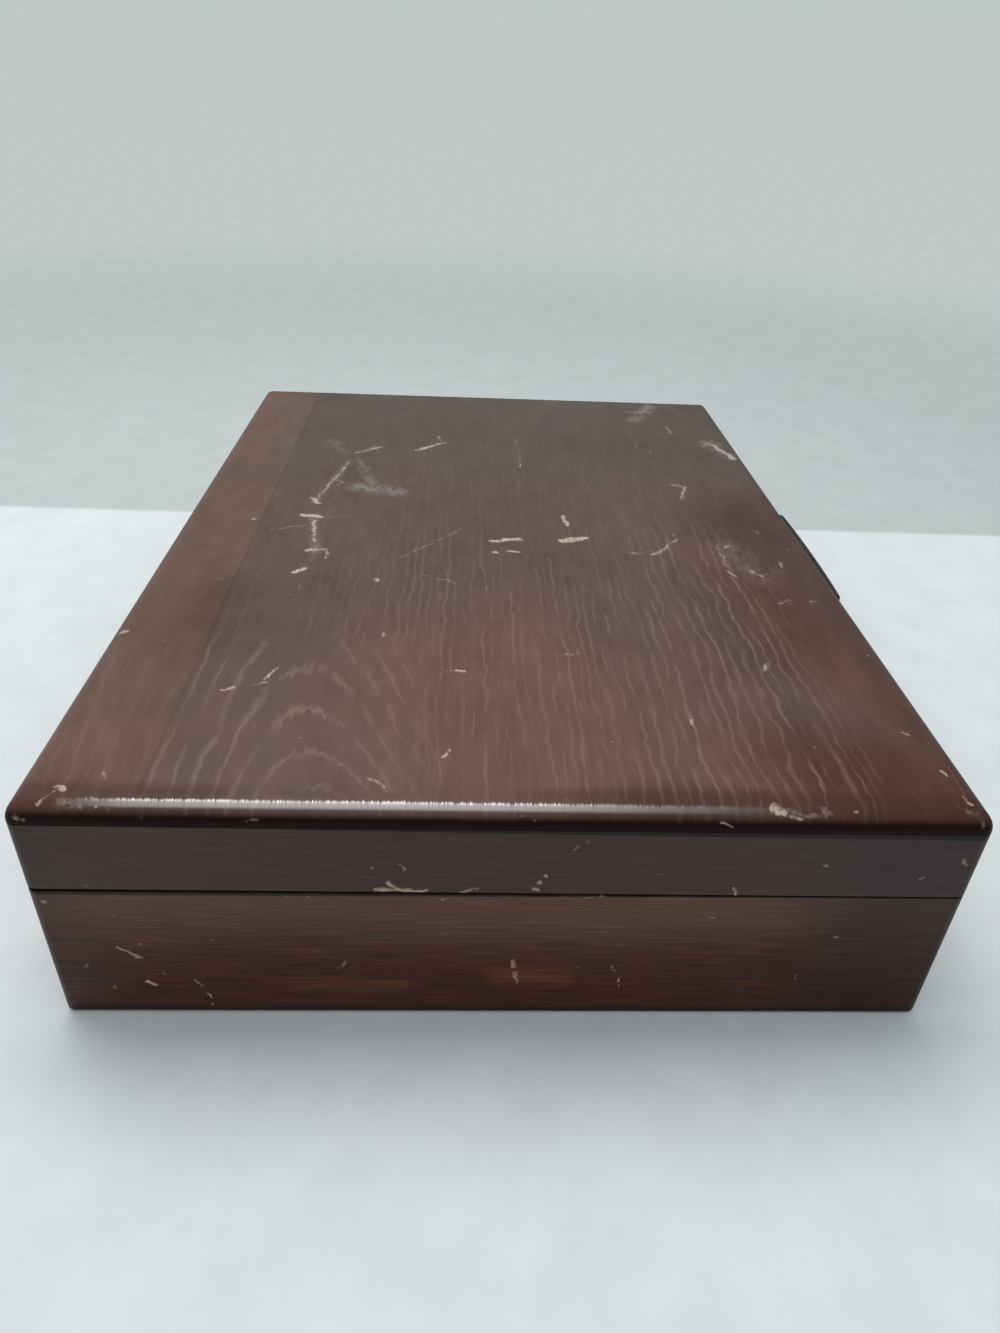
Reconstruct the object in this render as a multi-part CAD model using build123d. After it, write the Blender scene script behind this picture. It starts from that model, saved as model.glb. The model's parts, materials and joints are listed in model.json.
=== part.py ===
from build123d import *
import math
import os

# A flat wooden silverware chest with a hinged lid, in millimetres, modelled closed.
# The origin is the middle of the underside. +X runs along the long side, -Y is the front with
# the finger pull, +Y is the back with the hinges, and +Z is up.

# Case: four mitred walls, a bottom panel let into them, four lid rails and a top board.
chest_length = 390.5
chest_depth = 279.4
base_height = 55.0
lid_rail_height = 25.05
top_thickness = 6.35
wall_thickness = 9.5
bottom_thickness = 6.35
rabbet_depth = 4.8
corner_radius = 3.2
foot_ease = 1.5
rim_ease = 0.4
joint_chamfer = 0.3
top_roundover = 6.2
seam_gap_front = 0.3
seam_gap_back = 0.9

# Brads that hold the bottom panel up into the walls.
brads_per_long_side = 4
brads_per_short_side = 3
brad_inset = 38.0
brad_length = 16.0
brad_radius = 0.7
brad_head_radius = 1.5
brad_head_thickness = 0.8
brad_recess = 0.3

# Flannel lining on thin card, and the padded floor and ceiling.
lining_thickness = 1.2
lining_setback = 1.5
floor_pad_thickness = 2.0
lid_pad_thickness = 2.5

# Partitions and notched racks in the base.
serving_bay_width = 84.0
partition_thickness = 6.0
partition_height = 38.0
rack_setback = 58.0
rack_thickness = 13.0
rack_height = 34.0
rack_notch_width = 36.0
rack_notch_depth = 24.0
rack_notch_radius = 10.0
rack_land = 6.5
rack_edge_radius = 1.5

# Knife racks in the lid.
knife_rack_end_margin = 38.0
knife_rack_height = 18.0
knife_pitch = 36.0
handle_rack_setback = 62.0
handle_rack_thickness = 15.0
handle_notch_width = 14.0
handle_notch_depth = 13.0
handle_notch_radius = 5.0
blade_rack_setback = 52.0
blade_rack_thickness = 11.0
blade_slot_width = 3.4
blade_slot_depth = 13.0
blade_slot_radius = 1.5

# Finger pull on the lid's front rail. Its front bows out, so that the ends lie behind the middle.
pull_length = 88.9
pull_height = 19.0
pull_protrusion = 9.5
pull_rim_offset = 2.0
pull_bow = 1.0
pull_end_radius = 2.6
pull_edge_radius = 1.1
pull_groove_radius = 2.6
pull_groove_end = 9.0
pull_screw_spacing = 56.0
pull_screw_bite = 5.5
pull_screw_radius = 1.5
pull_screw_head_radius = 3.0

# Two butt hinges, their leaves let into the rims of the back wall and the lid's back rail.
hinge_inset = 56.0
hinge_length = 38.0
leaf_thickness = 1.0
leaf_gap = 0.3
leaf_margin = 1.8
knuckle_radius = 2.0
knuckle_count = 5
knuckle_gap = 0.3
knuckle_clearance = 0.3
hinge_pin_radius = 0.9
hinge_pin_overhang = 0.4
hinge_pin_chamfer = 0.3
leaf_screw_count = 3
leaf_screw_end_margin = 6.0
leaf_screw_radius = 1.0
leaf_screw_head_radius = 1.9
leaf_screw_length = 9.0

# Slotted brass stay at the right end, from a pivot in the lid to a stud in the base. Both lie
# at one distance from the hinge axis, so that the arm turns by half the lid's angle.
lid_open_angle = 95.0
stay_floor_clearance = 1.8
stay_rim_clearance = 1.0
stay_width = 8.0
stay_thickness = 1.5
stay_slot_clearance = 0.2
stay_slot_run_out = 0.3
stay_side_gap = 0.3
stay_washer_thickness = 1.0
stay_washer_radius = 3.4
stay_screw_radius = 1.5
stay_screw_bite = 6.5
stay_screw_head_radius = 3.2
stay_screw_head_thickness = 1.4
stay_screw_head_ease = 0.5

# Clearances and cutting shapes.
fastener_clearance = 0.05
screw_slot_width = 0.6
screw_slot_depth = 0.5
cut_margin = 1.0
smallest_land = 0.1

# Places worked out from the sizes above.
half_length = chest_length / 2
half_depth = chest_depth / 2
inner_x = half_length - wall_thickness
inner_y = half_depth - wall_thickness
lined_x = inner_x - lining_thickness
lined_y = inner_y - lining_thickness
floor_z = bottom_thickness + floor_pad_thickness
lid_rim_z = base_height + seam_gap_back
top_joint_z = lid_rim_z + lid_rail_height
chest_height = top_joint_z + top_thickness
ceiling_z = top_joint_z - lid_pad_thickness

hinge_axis_y = half_depth + knuckle_radius + knuckle_clearance
hinge_axis_z = base_height + seam_gap_back / 2
hinge_centre_x = half_length - hinge_inset - hinge_length / 2
leaf_inner_y = half_depth - wall_thickness + leaf_margin

partition_right_x = lined_x - serving_bay_width - partition_thickness
rack_bay_length = (partition_right_x + lined_x - partition_thickness) / 2
partition_centre_x = -lined_x + rack_bay_length

# The stay's two pivots lie stay_inset in from the hinge axis, and stay_rise above and below it.
# The closed arm hangs just clear of the floor pad, and the open arm just clears the walls' rims.
half_open = math.radians(lid_open_angle / 2)
rim_reach = (hinge_axis_y - inner_y) * math.cos(half_open) - seam_gap_back / 2 * math.sin(half_open)
arm_line = rim_reach + stay_rim_clearance + stay_width / 2
arm_tail = stay_slot_run_out + stay_width / 2
room_below = hinge_axis_z - floor_z - stay_floor_clearance - arm_tail
stay_rise = (room_below - 2 * arm_line * math.tan(half_open)) / (2 / math.cos(half_open) - 1)
stay_inset = (arm_line + stay_rise * math.sin(half_open)) / math.cos(half_open)
stay_y = hinge_axis_y - stay_inset
stay_pivot_z = hinge_axis_z + stay_rise
stay_stud_z = hinge_axis_z - stay_rise
stay_closed_reach = 2 * stay_rise
stay_open_reach = 2 * (stay_inset * math.sin(half_open) + stay_rise * math.cos(half_open))
stay_arm_outer_x = lined_x - stay_washer_thickness - stay_side_gap
stay_arm_inner_x = stay_arm_outer_x - stay_thickness

parts = {}


def block(x_low, x_high, y_low, y_high, z_low, z_high):
    # An upright block between two opposite corners.
    centre = Pos((x_low + x_high) / 2, (y_low + y_high) / 2, (z_low + z_high) / 2)
    return centre * Box(x_high - x_low, y_high - y_low, z_high - z_low)


def evenly(count, span):
    # Places spread evenly along a span that is centred on zero.
    if count == 1:
        return [0.0]
    return [-span / 2 + span * step / (count - 1) for step in range(count)]


def notch_places(length, pitch, end_land):
    # Centres of as many notches as a rack of this length has room for, about its middle.
    count = max(1, int((length - end_land) // pitch))
    return evenly(count, (count - 1) * pitch)


def spindle(radius, length):
    # A plain round bar that points down from the origin.
    return Pos(0, 0, -length / 2) * Cylinder(radius, length)


def screw_body(head_radius, shank_radius, length, growth):
    # A countersunk screw or, with growth, the hole it goes in. It points down, head at zero.
    head_height = head_radius - shank_radius
    cone = Pos(0, 0, -head_height / 2) * Cone(
        shank_radius + growth, head_radius + growth, head_height
    )
    body = cone + spindle(shank_radius + growth, length + growth)
    if growth:
        body += Pos(0, 0, cut_margin / 2) * Cylinder(head_radius + growth, cut_margin)
    return body


def countersunk_screw(head_radius, shank_radius, length):
    body = screw_body(head_radius, shank_radius, length, 0)
    return body - Box(2 * head_radius + cut_margin, screw_slot_width, 2 * screw_slot_depth)


def wall_ring(z_low, z_high):
    # Solid block with the chest's plan, before its inside is cut away.
    outer = block(-half_length, half_length, -half_depth, half_depth, z_low, z_high)
    return fillet(outer.edges().filter_by(Axis.Z), corner_radius)


def inside_cut(z_low, z_high, widening=0.0):
    x_reach = inner_x + widening
    y_reach = inner_y + widening
    return block(-x_reach, x_reach, -y_reach, y_reach, z_low, z_high)


def mitre_prism(side):
    # The part of the plan that one wall takes, between the mitres at its two ends.
    out = cut_margin
    into = wall_thickness + cut_margin
    outer_x, outer_y = half_length + out, half_depth + out
    mitre_x, mitre_y = half_length - into, half_depth - into
    if side in ("front", "back"):
        sign = -1 if side == "front" else 1
        corners = [(-outer_x, sign * outer_y), (outer_x, sign * outer_y)]
        corners += [(mitre_x, sign * mitre_y), (-mitre_x, sign * mitre_y)]
    else:
        sign = -1 if side == "left" else 1
        corners = [(sign * outer_x, -outer_y), (sign * outer_x, outer_y)]
        corners += [(sign * mitre_x, mitre_y), (sign * mitre_x, -mitre_y)]
    face = make_face(Polyline(*corners, close=True))
    return Pos(0, 0, -cut_margin) * extrude(face, chest_height + 2 * cut_margin, dir=(0, 0, 1))


def mitred_wall(ring, side):
    return ring & mitre_prism(side)


def brad_places():
    # Plan positions of the bottom panel's brads, midway across the rabbet.
    row_y = inner_y + rabbet_depth / 2
    row_x = inner_x + rabbet_depth / 2
    long_run = evenly(brads_per_long_side, chest_length - 2 * brad_inset)
    short_run = evenly(brads_per_short_side, chest_depth - 2 * brad_inset)
    places = [(x, sign * row_y) for x in long_run for sign in (-1, 1)]
    return places + [(sign * row_x, y) for y in short_run for sign in (-1, 1)]


def brad(growth):
    # A flat-headed brad that points up from the recess in the panel, or its hole.
    head = Cylinder(brad_head_radius + growth, brad_head_thickness + growth)
    head = Pos(0, 0, brad_recess + (brad_head_thickness + growth) / 2) * head
    shank_length = brad_length + growth
    shank = Cylinder(brad_radius + growth, shank_length)
    body = head + Pos(0, 0, brad_recess + shank_length / 2) * shank
    if growth:
        body += Pos(0, 0, brad_recess / 2) * Cylinder(brad_head_radius + growth, brad_recess)
    return body


def at_places(shape, places, z=0.0):
    return [Pos(x, y, z) * shape for x, y in places]


def leaf_screw_places(centre_x):
    row_y = (leaf_inner_y + half_depth) / 2
    run = evenly(leaf_screw_count, hinge_length - 2 * leaf_screw_end_margin)
    return [(centre_x + x, row_y) for x in run]


def knuckle_spans(centre_x, of_lid):
    # The stretches of the hinge line that one leaf's knuckles take, by turns.
    pitch = hinge_length / knuckle_count
    start = centre_x - hinge_length / 2
    first = 1 if of_lid else 0
    return [(start + pitch * n, start + pitch * (n + 1)) for n in range(first, knuckle_count, 2)]


def along_hinge(radius, x_low, x_high):
    # A round bar on the hinge axis.
    bar = Rot(0, 90, 0) * Cylinder(radius, x_high - x_low)
    return Pos((x_low + x_high) / 2, hinge_axis_y, hinge_axis_z) * bar


def hinge_leaf(centre_x, of_lid):
    x_low = centre_x - hinge_length / 2
    x_high = centre_x + hinge_length / 2
    if of_lid:
        z_low = hinge_axis_z + leaf_gap / 2
        screw_top = z_low
        turn = Rot(180, 0, 0)
    else:
        z_low = hinge_axis_z - leaf_gap / 2 - leaf_thickness
        screw_top = z_low + leaf_thickness
        turn = Rot(0, 0, 0)
    leaf = block(x_low, x_high, leaf_inner_y, hinge_axis_y, z_low, z_low + leaf_thickness)
    for low, high in knuckle_spans(centre_x, not of_lid):
        leaf -= along_hinge(
            knuckle_radius + knuckle_clearance, low - knuckle_gap / 2, high + knuckle_gap / 2
        )
    for low, high in knuckle_spans(centre_x, of_lid):
        start = low if low == x_low else low + knuckle_gap / 2
        end = high if abs(high - x_high) < smallest_land else high - knuckle_gap / 2
        leaf += along_hinge(knuckle_radius, start, end)
    bore_radius = hinge_pin_radius + fastener_clearance
    leaf -= along_hinge(bore_radius, x_low - cut_margin, x_high + cut_margin)
    hole = turn * screw_body(
        leaf_screw_head_radius, leaf_screw_radius, leaf_screw_length, fastener_clearance
    )
    for place in at_places(hole, leaf_screw_places(centre_x), screw_top):
        leaf -= place
    return leaf


def hinge_pin(centre_x):
    reach = hinge_length / 2 + hinge_pin_overhang
    pin = along_hinge(hinge_pin_radius, centre_x - reach, centre_x + reach)
    return chamfer(pin.edges().filter_by(GeomType.CIRCLE), hinge_pin_chamfer)


def leaf_mortise(centre_x, of_lid):
    # The shallow seat of a leaf in the wood, open at the seam and at the back.
    x_low = centre_x - hinge_length / 2
    x_high = centre_x + hinge_length / 2
    if of_lid:
        z_low = base_height
        z_high = hinge_axis_z + leaf_gap / 2 + leaf_thickness
    else:
        z_low = hinge_axis_z - leaf_gap / 2 - leaf_thickness
        z_high = base_height + cut_margin
    return block(x_low, x_high, leaf_inner_y, half_depth + cut_margin, z_low, z_high)


def stay_screw(z):
    # Round-headed screw through washer, lining and wood, with its slot across the head.
    head_top_x = stay_arm_inner_x - stay_side_gap - stay_screw_head_thickness
    end_x = inner_x + stay_screw_bite
    head = Rot(0, 90, 0) * Cylinder(stay_screw_head_radius, stay_screw_head_thickness)
    head = fillet(head.edges().sort_by(Axis.X)[0], stay_screw_head_ease)
    head -= Pos(-stay_screw_head_thickness / 2, 0, 0) * Box(
        2 * screw_slot_depth, 2 * stay_screw_head_radius + cut_margin, screw_slot_width
    )
    shank_length = end_x - head_top_x - stay_screw_head_thickness
    shank = Pos((stay_screw_head_thickness + shank_length) / 2, 0, 0) * (
        Rot(0, 90, 0) * Cylinder(stay_screw_radius, shank_length)
    )
    return Pos(head_top_x + stay_screw_head_thickness / 2, stay_y, z) * (head + shank)


def stay_screw_hole(z):
    end_x = inner_x + stay_screw_bite + fastener_clearance
    start_x = lined_x - stay_washer_thickness - cut_margin
    hole = Rot(0, 90, 0) * Cylinder(stay_screw_radius + fastener_clearance, end_x - start_x)
    return Pos((start_x + end_x) / 2, stay_y, z) * hole


def stay_washer(z):
    ring = Rot(0, 90, 0) * Cylinder(stay_washer_radius, stay_washer_thickness)
    return Pos(lined_x - stay_washer_thickness / 2, stay_y, z) * ring - stay_screw_hole(z)


def arm_slot(near, far, width, thickness):
    # An upright plate or slot with round ends, from one reach below the pivot to another.
    shape = Rot(0, 0, 90) * SlotCenterToCenter(far - near, width)
    plate = extrude(Plane.YZ * shape, thickness)
    middle_x = (stay_arm_inner_x + stay_arm_outer_x) / 2
    low_x = middle_x - thickness / 2
    return Pos(low_x, stay_y, stay_pivot_z - (near + far) / 2) * plate


def seam_wedge():
    # The gap between base and lid, thin at the front and wider at the hinges.
    reach = half_depth + cut_margin
    slope = (seam_gap_back - seam_gap_front) / chest_depth
    front_z = base_height + seam_gap_front - slope * cut_margin
    back_z = base_height + seam_gap_back + slope * cut_margin
    low_z = base_height - cut_margin
    corners = [(-reach, low_z), (reach, low_z), (reach, back_z), (-reach, front_z)]
    face = Plane.YZ * make_face(Polyline(*corners, close=True))
    return extrude(face, half_length + cut_margin, both=True)


def notched_bar(x_low, x_high, y_low, y_high, z_low, z_high, places, width, depth, radius, up):
    # A rack bar with round-bottomed notches from its top edge, or from its lower edge.
    bar = block(x_low, x_high, y_low, y_high, z_low, z_high)
    edge_z = z_high if up else z_low
    long_edges = bar.edges().filter_by(Axis.X)
    open_edges = [edge for edge in long_edges if abs(edge.center().Z - edge_z) < smallest_land]
    bar = fillet(open_edges, rack_edge_radius)
    middle = (x_low + x_high) / 2
    for place in places:
        x = middle + place
        if up:
            notch = block(x - width / 2, x + width / 2, y_low - cut_margin, y_high + cut_margin,
                          z_high - depth, z_high + cut_margin)
            floor_edges = notch.edges().filter_by(Axis.Y).sort_by(Axis.Z)[:2]
        else:
            notch = block(x - width / 2, x + width / 2, y_low - cut_margin, y_high + cut_margin,
                          z_low - cut_margin, z_low + depth)
            floor_edges = notch.edges().filter_by(Axis.Y).sort_by(Axis.Z)[-2:]
        bar -= fillet(floor_edges, radius)
    return bar


def make_base_case():
    ring = wall_ring(0, base_height)
    ring = fillet(ring.faces().sort_by(Axis.Z)[0].edges(), foot_ease)
    ring = fillet(ring.faces().sort_by(Axis.Z)[-1].edges(), rim_ease)
    ring -= inside_cut(-cut_margin, base_height + cut_margin)
    ring -= inside_cut(-cut_margin, bottom_thickness, rabbet_depth)
    panel = inside_cut(0, bottom_thickness, rabbet_depth)
    for hole in at_places(brad(fastener_clearance), brad_places()):
        ring -= hole
        panel -= hole
    for centre_x in (-hinge_centre_x, hinge_centre_x):
        ring -= leaf_mortise(centre_x, of_lid=False)
        hole = screw_body(
            leaf_screw_head_radius, leaf_screw_radius, leaf_screw_length, fastener_clearance
        )
        top_z = hinge_axis_z - leaf_gap / 2
        for place in at_places(hole, leaf_screw_places(centre_x), top_z):
            ring -= place
    ring -= stay_screw_hole(stay_stud_z)
    parts["base_front_wall"] = mitred_wall(ring, "front")
    parts["base_back_wall"] = mitred_wall(ring, "back")
    parts["base_left_end"] = mitred_wall(ring, "left")
    parts["base_right_end"] = mitred_wall(ring, "right")
    parts["base_bottom_panel"] = panel
    parts["bottom_panel_brads"] = Compound(at_places(brad(0), brad_places()))


def make_lid_case():
    ring = wall_ring(base_height, top_joint_z)
    ring = chamfer(ring.faces().sort_by(Axis.Z)[-1].edges(), joint_chamfer)
    ring -= seam_wedge()
    ring = fillet(ring.faces().sort_by(Axis.Z)[0].edges(), rim_ease)
    ring -= inside_cut(base_height - cut_margin, top_joint_z + cut_margin)
    for centre_x in (-hinge_centre_x, hinge_centre_x):
        ring -= leaf_mortise(centre_x, of_lid=True)
        hole = Rot(180, 0, 0) * screw_body(
            leaf_screw_head_radius, leaf_screw_radius, leaf_screw_length, fastener_clearance
        )
        low_z = hinge_axis_z + leaf_gap / 2
        for place in at_places(hole, leaf_screw_places(centre_x), low_z):
            ring -= place
    for hole in pull_screw_shapes(fastener_clearance):
        ring -= hole
    ring -= stay_screw_hole(stay_pivot_z)
    parts["lid_front_rail"] = mitred_wall(ring, "front")
    parts["lid_back_rail"] = mitred_wall(ring, "back")
    parts["lid_left_rail"] = mitred_wall(ring, "left")
    parts["lid_right_rail"] = mitred_wall(ring, "right")


def at_top_corner(shape):
    # True of an edge that lies wholly in a corner of the plan, within the top's rounding.
    reach_x, reach_y = half_length - top_roundover, half_depth - top_roundover
    return abs(shape.center().X) > reach_x and abs(shape.center().Y) > reach_y


def make_top_board():
    # The board covers the rails. It is rounded over on all four sides, down to its joint, and
    # the corners where the roundings meet are eased to the walls' own corner radius.
    roundover = min(top_roundover, top_thickness - smallest_land)
    board = block(-half_length, half_length, -half_depth, half_depth, top_joint_z, chest_height)
    board = fillet(board.faces().sort_by(Axis.Z)[-1].edges(), roundover)
    corner_edges = board.edges().filter_by(lambda edge: at_top_corner(edge))
    parts["lid_top_board"] = fillet(corner_edges, corner_radius)


def pull_screw_shapes(growth):
    # Screws from inside the lid's front rail into the pull, or their holes.
    length = wall_thickness + pull_screw_bite
    if growth:
        screw = screw_body(pull_screw_head_radius, pull_screw_radius, length, growth)
    else:
        screw = countersunk_screw(pull_screw_head_radius, pull_screw_radius, length)
    z = base_height + seam_gap_front + pull_rim_offset + pull_height / 2
    return [Pos(x, -inner_y, z) * (Rot(-90, 0, 0) * screw) for x in evenly(2, pull_screw_spacing)]


def stands_out(shape):
    # True of an edge or corner that lies clear of the lid rail's face.
    return shape.center().Y < -half_depth - smallest_land


def make_finger_pull():
    half = pull_length / 2
    front_y = -half_depth - pull_protrusion
    end_y = front_y + pull_bow
    outline = [
        Line((-half, -half_depth), (half, -half_depth)),
        Line((half, -half_depth), (half, end_y)),
        ThreePointArc((half, end_y), (0, front_y), (-half, end_y)),
        Line((-half, end_y), (-half, -half_depth)),
    ]
    plan = make_face(Curve() + outline)
    plan = fillet(plan.vertices().filter_by(lambda corner: stands_out(corner)), pull_end_radius)
    low_z = base_height + seam_gap_front + pull_rim_offset
    pull = Pos(0, 0, low_z) * extrude(plan, pull_height, dir=(0, 0, 1))
    flat_faces = pull.faces().filter_by(Axis.Z)
    pull = fillet(flat_faces.edges().filter_by(lambda edge: stands_out(edge)), pull_edge_radius)
    groove_length = pull_length - 2 * pull_groove_end
    groove = Rot(0, 90, 0) * Cylinder(pull_groove_radius, groove_length)
    pull -= Pos(0, -half_depth - pull_protrusion / 2, low_z) * groove
    for hole in pull_screw_shapes(fastener_clearance):
        pull -= hole
    parts["finger_pull"] = pull
    parts["finger_pull_screws"] = Compound(pull_screw_shapes(0))


def make_linings(prefix, z_low, z_high, cuts):
    # Four strips round the inside: front and back run the whole length, the ends fit between.
    strips = {
        "front": block(-inner_x, inner_x, -inner_y, -lined_y, z_low, z_high),
        "back": block(-inner_x, inner_x, lined_y, inner_y, z_low, z_high),
        "left": block(-inner_x, -lined_x, -lined_y, lined_y, z_low, z_high),
        "right": block(lined_x, inner_x, -lined_y, lined_y, z_low, z_high),
    }
    for side, strip in strips.items():
        for cut in cuts:
            strip -= cut
        parts[prefix + "_" + side + "_lining"] = strip


def make_pads():
    parts["base_floor_pad"] = block(-lined_x, lined_x, -lined_y, lined_y, bottom_thickness, floor_z)
    parts["lid_pad"] = block(-lined_x, lined_x, -lined_y, lined_y, ceiling_z, top_joint_z)


def make_partitions():
    for name, x_low in (("centre", partition_centre_x), ("serving", partition_right_x)):
        board = block(x_low, x_low + partition_thickness, -lined_y, lined_y,
                      floor_z, floor_z + partition_height)
        top_edges = board.edges().filter_by(Axis.Y).sort_by(Axis.Z)[-2:]
        parts[name + "_partition"] = fillet(top_edges, rack_edge_radius)


def make_base_racks():
    bays = {"left": -lined_x, "centre": partition_centre_x + partition_thickness}
    rows = {
        "front": -lined_y + rack_setback,
        "back": lined_y - rack_setback - rack_thickness,
    }
    places = notch_places(rack_bay_length, rack_notch_width + rack_land, rack_land)
    for bay, x_low in bays.items():
        for row, y_low in rows.items():
            parts[bay + "_" + row + "_rack"] = notched_bar(
                x_low, x_low + rack_bay_length, y_low, y_low + rack_thickness,
                floor_z, floor_z + rack_height,
                places, rack_notch_width, rack_notch_depth, rack_notch_radius, up=True,
            )


def make_knife_racks():
    x_reach = lined_x - knife_rack_end_margin
    low_z = ceiling_z - knife_rack_height
    places = notch_places(2 * x_reach, knife_pitch, 0)
    front_y = -lined_y + handle_rack_setback
    parts["knife_handle_rack"] = notched_bar(
        -x_reach, x_reach, front_y, front_y + handle_rack_thickness, low_z, ceiling_z,
        places, handle_notch_width, handle_notch_depth, handle_notch_radius, up=False,
    )
    back_y = lined_y - blade_rack_setback
    parts["knife_blade_rack"] = notched_bar(
        -x_reach, x_reach, back_y - blade_rack_thickness, back_y, low_z, ceiling_z,
        places, blade_slot_width, blade_slot_depth, blade_slot_radius, up=False,
    )


def make_hinges():
    screw = countersunk_screw(leaf_screw_head_radius, leaf_screw_radius, leaf_screw_length)
    base_screws = []
    lid_screws = []
    for side, centre_x in (("left", -hinge_centre_x), ("right", hinge_centre_x)):
        parts[side + "_hinge_base_leaf"] = hinge_leaf(centre_x, of_lid=False)
        parts[side + "_hinge_lid_leaf"] = hinge_leaf(centre_x, of_lid=True)
        parts[side + "_hinge_pin"] = hinge_pin(centre_x)
        places = leaf_screw_places(centre_x)
        base_screws += at_places(screw, places, hinge_axis_z - leaf_gap / 2)
        lid_screws += at_places(Rot(180, 0, 0) * screw, places, hinge_axis_z + leaf_gap / 2)
    parts["hinge_base_screws"] = Compound(base_screws)
    parts["hinge_lid_screws"] = Compound(lid_screws)


def make_stay():
    far = stay_open_reach + stay_slot_run_out
    arm = arm_slot(0, far, stay_width, stay_thickness)
    slot_width = 2 * (stay_screw_radius + stay_slot_clearance)
    cut_thickness = stay_thickness + cut_margin
    arm -= arm_slot(stay_closed_reach - stay_slot_run_out, far, slot_width, cut_thickness)
    pivot_hole = Rot(0, 90, 0) * Cylinder(stay_screw_radius + fastener_clearance, cut_thickness)
    arm -= Pos((stay_arm_inner_x + stay_arm_outer_x) / 2, stay_y, stay_pivot_z) * pivot_hole
    parts["stay_arm"] = arm
    parts["stay_pivot_screw"] = stay_screw(stay_pivot_z)
    parts["stay_pivot_washer"] = stay_washer(stay_pivot_z)
    parts["stay_stud"] = stay_screw(stay_stud_z)
    parts["stay_stud_washer"] = stay_washer(stay_stud_z)


make_base_case()
make_lid_case()
make_top_board()
make_finger_pull()
make_linings("base", bottom_thickness, base_height - lining_setback, [stay_screw_hole(stay_stud_z)])
make_linings("lid", lid_rim_z + lining_setback, top_joint_z, [stay_screw_hole(stay_pivot_z)])
make_pads()
make_partitions()
make_base_racks()
make_knife_racks()
make_hinges()
make_stay()

os.makedirs("parts", exist_ok=True)
for name, shape in parts.items():
    export_step(shape, "parts/" + name + ".step")
print(len(parts), "pieces,", chest_length, "x", chest_depth, "x", chest_height)
print("lid hinge axis y, z:", hinge_axis_y, hinge_axis_z)
print("stay pivot y, z:", stay_y, stay_pivot_z, "reach", stay_closed_reach, stay_open_reach)
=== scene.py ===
import json
import math

import bmesh
import bpy
from mathutils import Matrix, Vector, noise

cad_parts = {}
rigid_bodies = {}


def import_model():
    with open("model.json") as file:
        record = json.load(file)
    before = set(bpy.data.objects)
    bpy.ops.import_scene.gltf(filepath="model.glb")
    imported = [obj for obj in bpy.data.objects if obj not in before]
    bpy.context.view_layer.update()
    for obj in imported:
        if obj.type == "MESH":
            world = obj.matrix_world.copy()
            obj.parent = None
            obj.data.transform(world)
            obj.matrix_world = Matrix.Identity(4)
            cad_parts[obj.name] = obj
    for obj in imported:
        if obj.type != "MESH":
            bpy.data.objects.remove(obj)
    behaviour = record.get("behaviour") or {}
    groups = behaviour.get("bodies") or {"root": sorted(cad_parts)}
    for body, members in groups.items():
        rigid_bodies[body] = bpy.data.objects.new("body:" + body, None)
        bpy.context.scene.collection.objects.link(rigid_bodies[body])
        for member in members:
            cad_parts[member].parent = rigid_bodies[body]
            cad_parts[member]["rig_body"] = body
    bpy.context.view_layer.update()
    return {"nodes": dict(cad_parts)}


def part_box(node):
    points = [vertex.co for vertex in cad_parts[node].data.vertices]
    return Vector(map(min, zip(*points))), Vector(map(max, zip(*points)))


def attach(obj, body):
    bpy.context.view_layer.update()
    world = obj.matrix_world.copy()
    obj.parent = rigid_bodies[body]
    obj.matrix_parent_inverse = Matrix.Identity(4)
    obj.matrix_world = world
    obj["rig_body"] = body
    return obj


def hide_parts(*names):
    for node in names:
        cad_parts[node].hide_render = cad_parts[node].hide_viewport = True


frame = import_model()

mm = 0.001
nodes = frame["nodes"]


def boxInMm(node):
    low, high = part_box(node)
    return low / mm, high / mm


topLow, topHigh = boxInMm("lid_top_board")
railLow, railHigh = boxInMm("lid_left_rail")
pullLow, pullHigh = boxInMm("finger_pull")
padLow, padHigh = boxInMm("base_floor_pad")
baseTop = boxInMm("base_left_end")[1].z
print("frame loaded:", len(nodes), "nodes")


photoView = {
    "place": (-0.3853, 0.0155, 0.2587),  # metres, in the chest's own frame
    "right": (-0.0275, -0.9988, 0.0405),
    "up": (0.5444, 0.0191, 0.8386),
    "forward": (0.8384, -0.0451, -0.5433),
    "focalPixels": 914.5,
    "frameWide": 1000,
    "frameHigh": 1333,
    "sensor": 36.0,
    "nearest": 0.01,
    "farthest": 60.0,
}


viewPlace, viewRight, viewUp, viewForward = (
    Vector(photoView[way]) for way in ("place", "right", "up", "forward")
)


def addObject(name, data):
    thing = bpy.data.objects.new(name, data)
    bpy.context.scene.collection.objects.link(thing)
    return thing


def makeCamera():
    data = bpy.data.cameras.new("photoCamera")
    data.sensor_width = photoView["sensor"]
    data.lens = photoView["focalPixels"] * photoView["sensor"] / photoView["frameHigh"]
    data.clip_start = photoView["nearest"]
    data.clip_end = photoView["farthest"]
    camera = addObject("photoCamera", data)
    turn = Matrix((viewRight, viewUp, -viewForward)).transposed().to_4x4()
    camera.matrix_world = Matrix.Translation(viewPlace) @ turn
    bpy.context.scene.camera = camera


roundOver = 6.2  # mm, the top board's edge
sightSteps = 80


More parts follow.
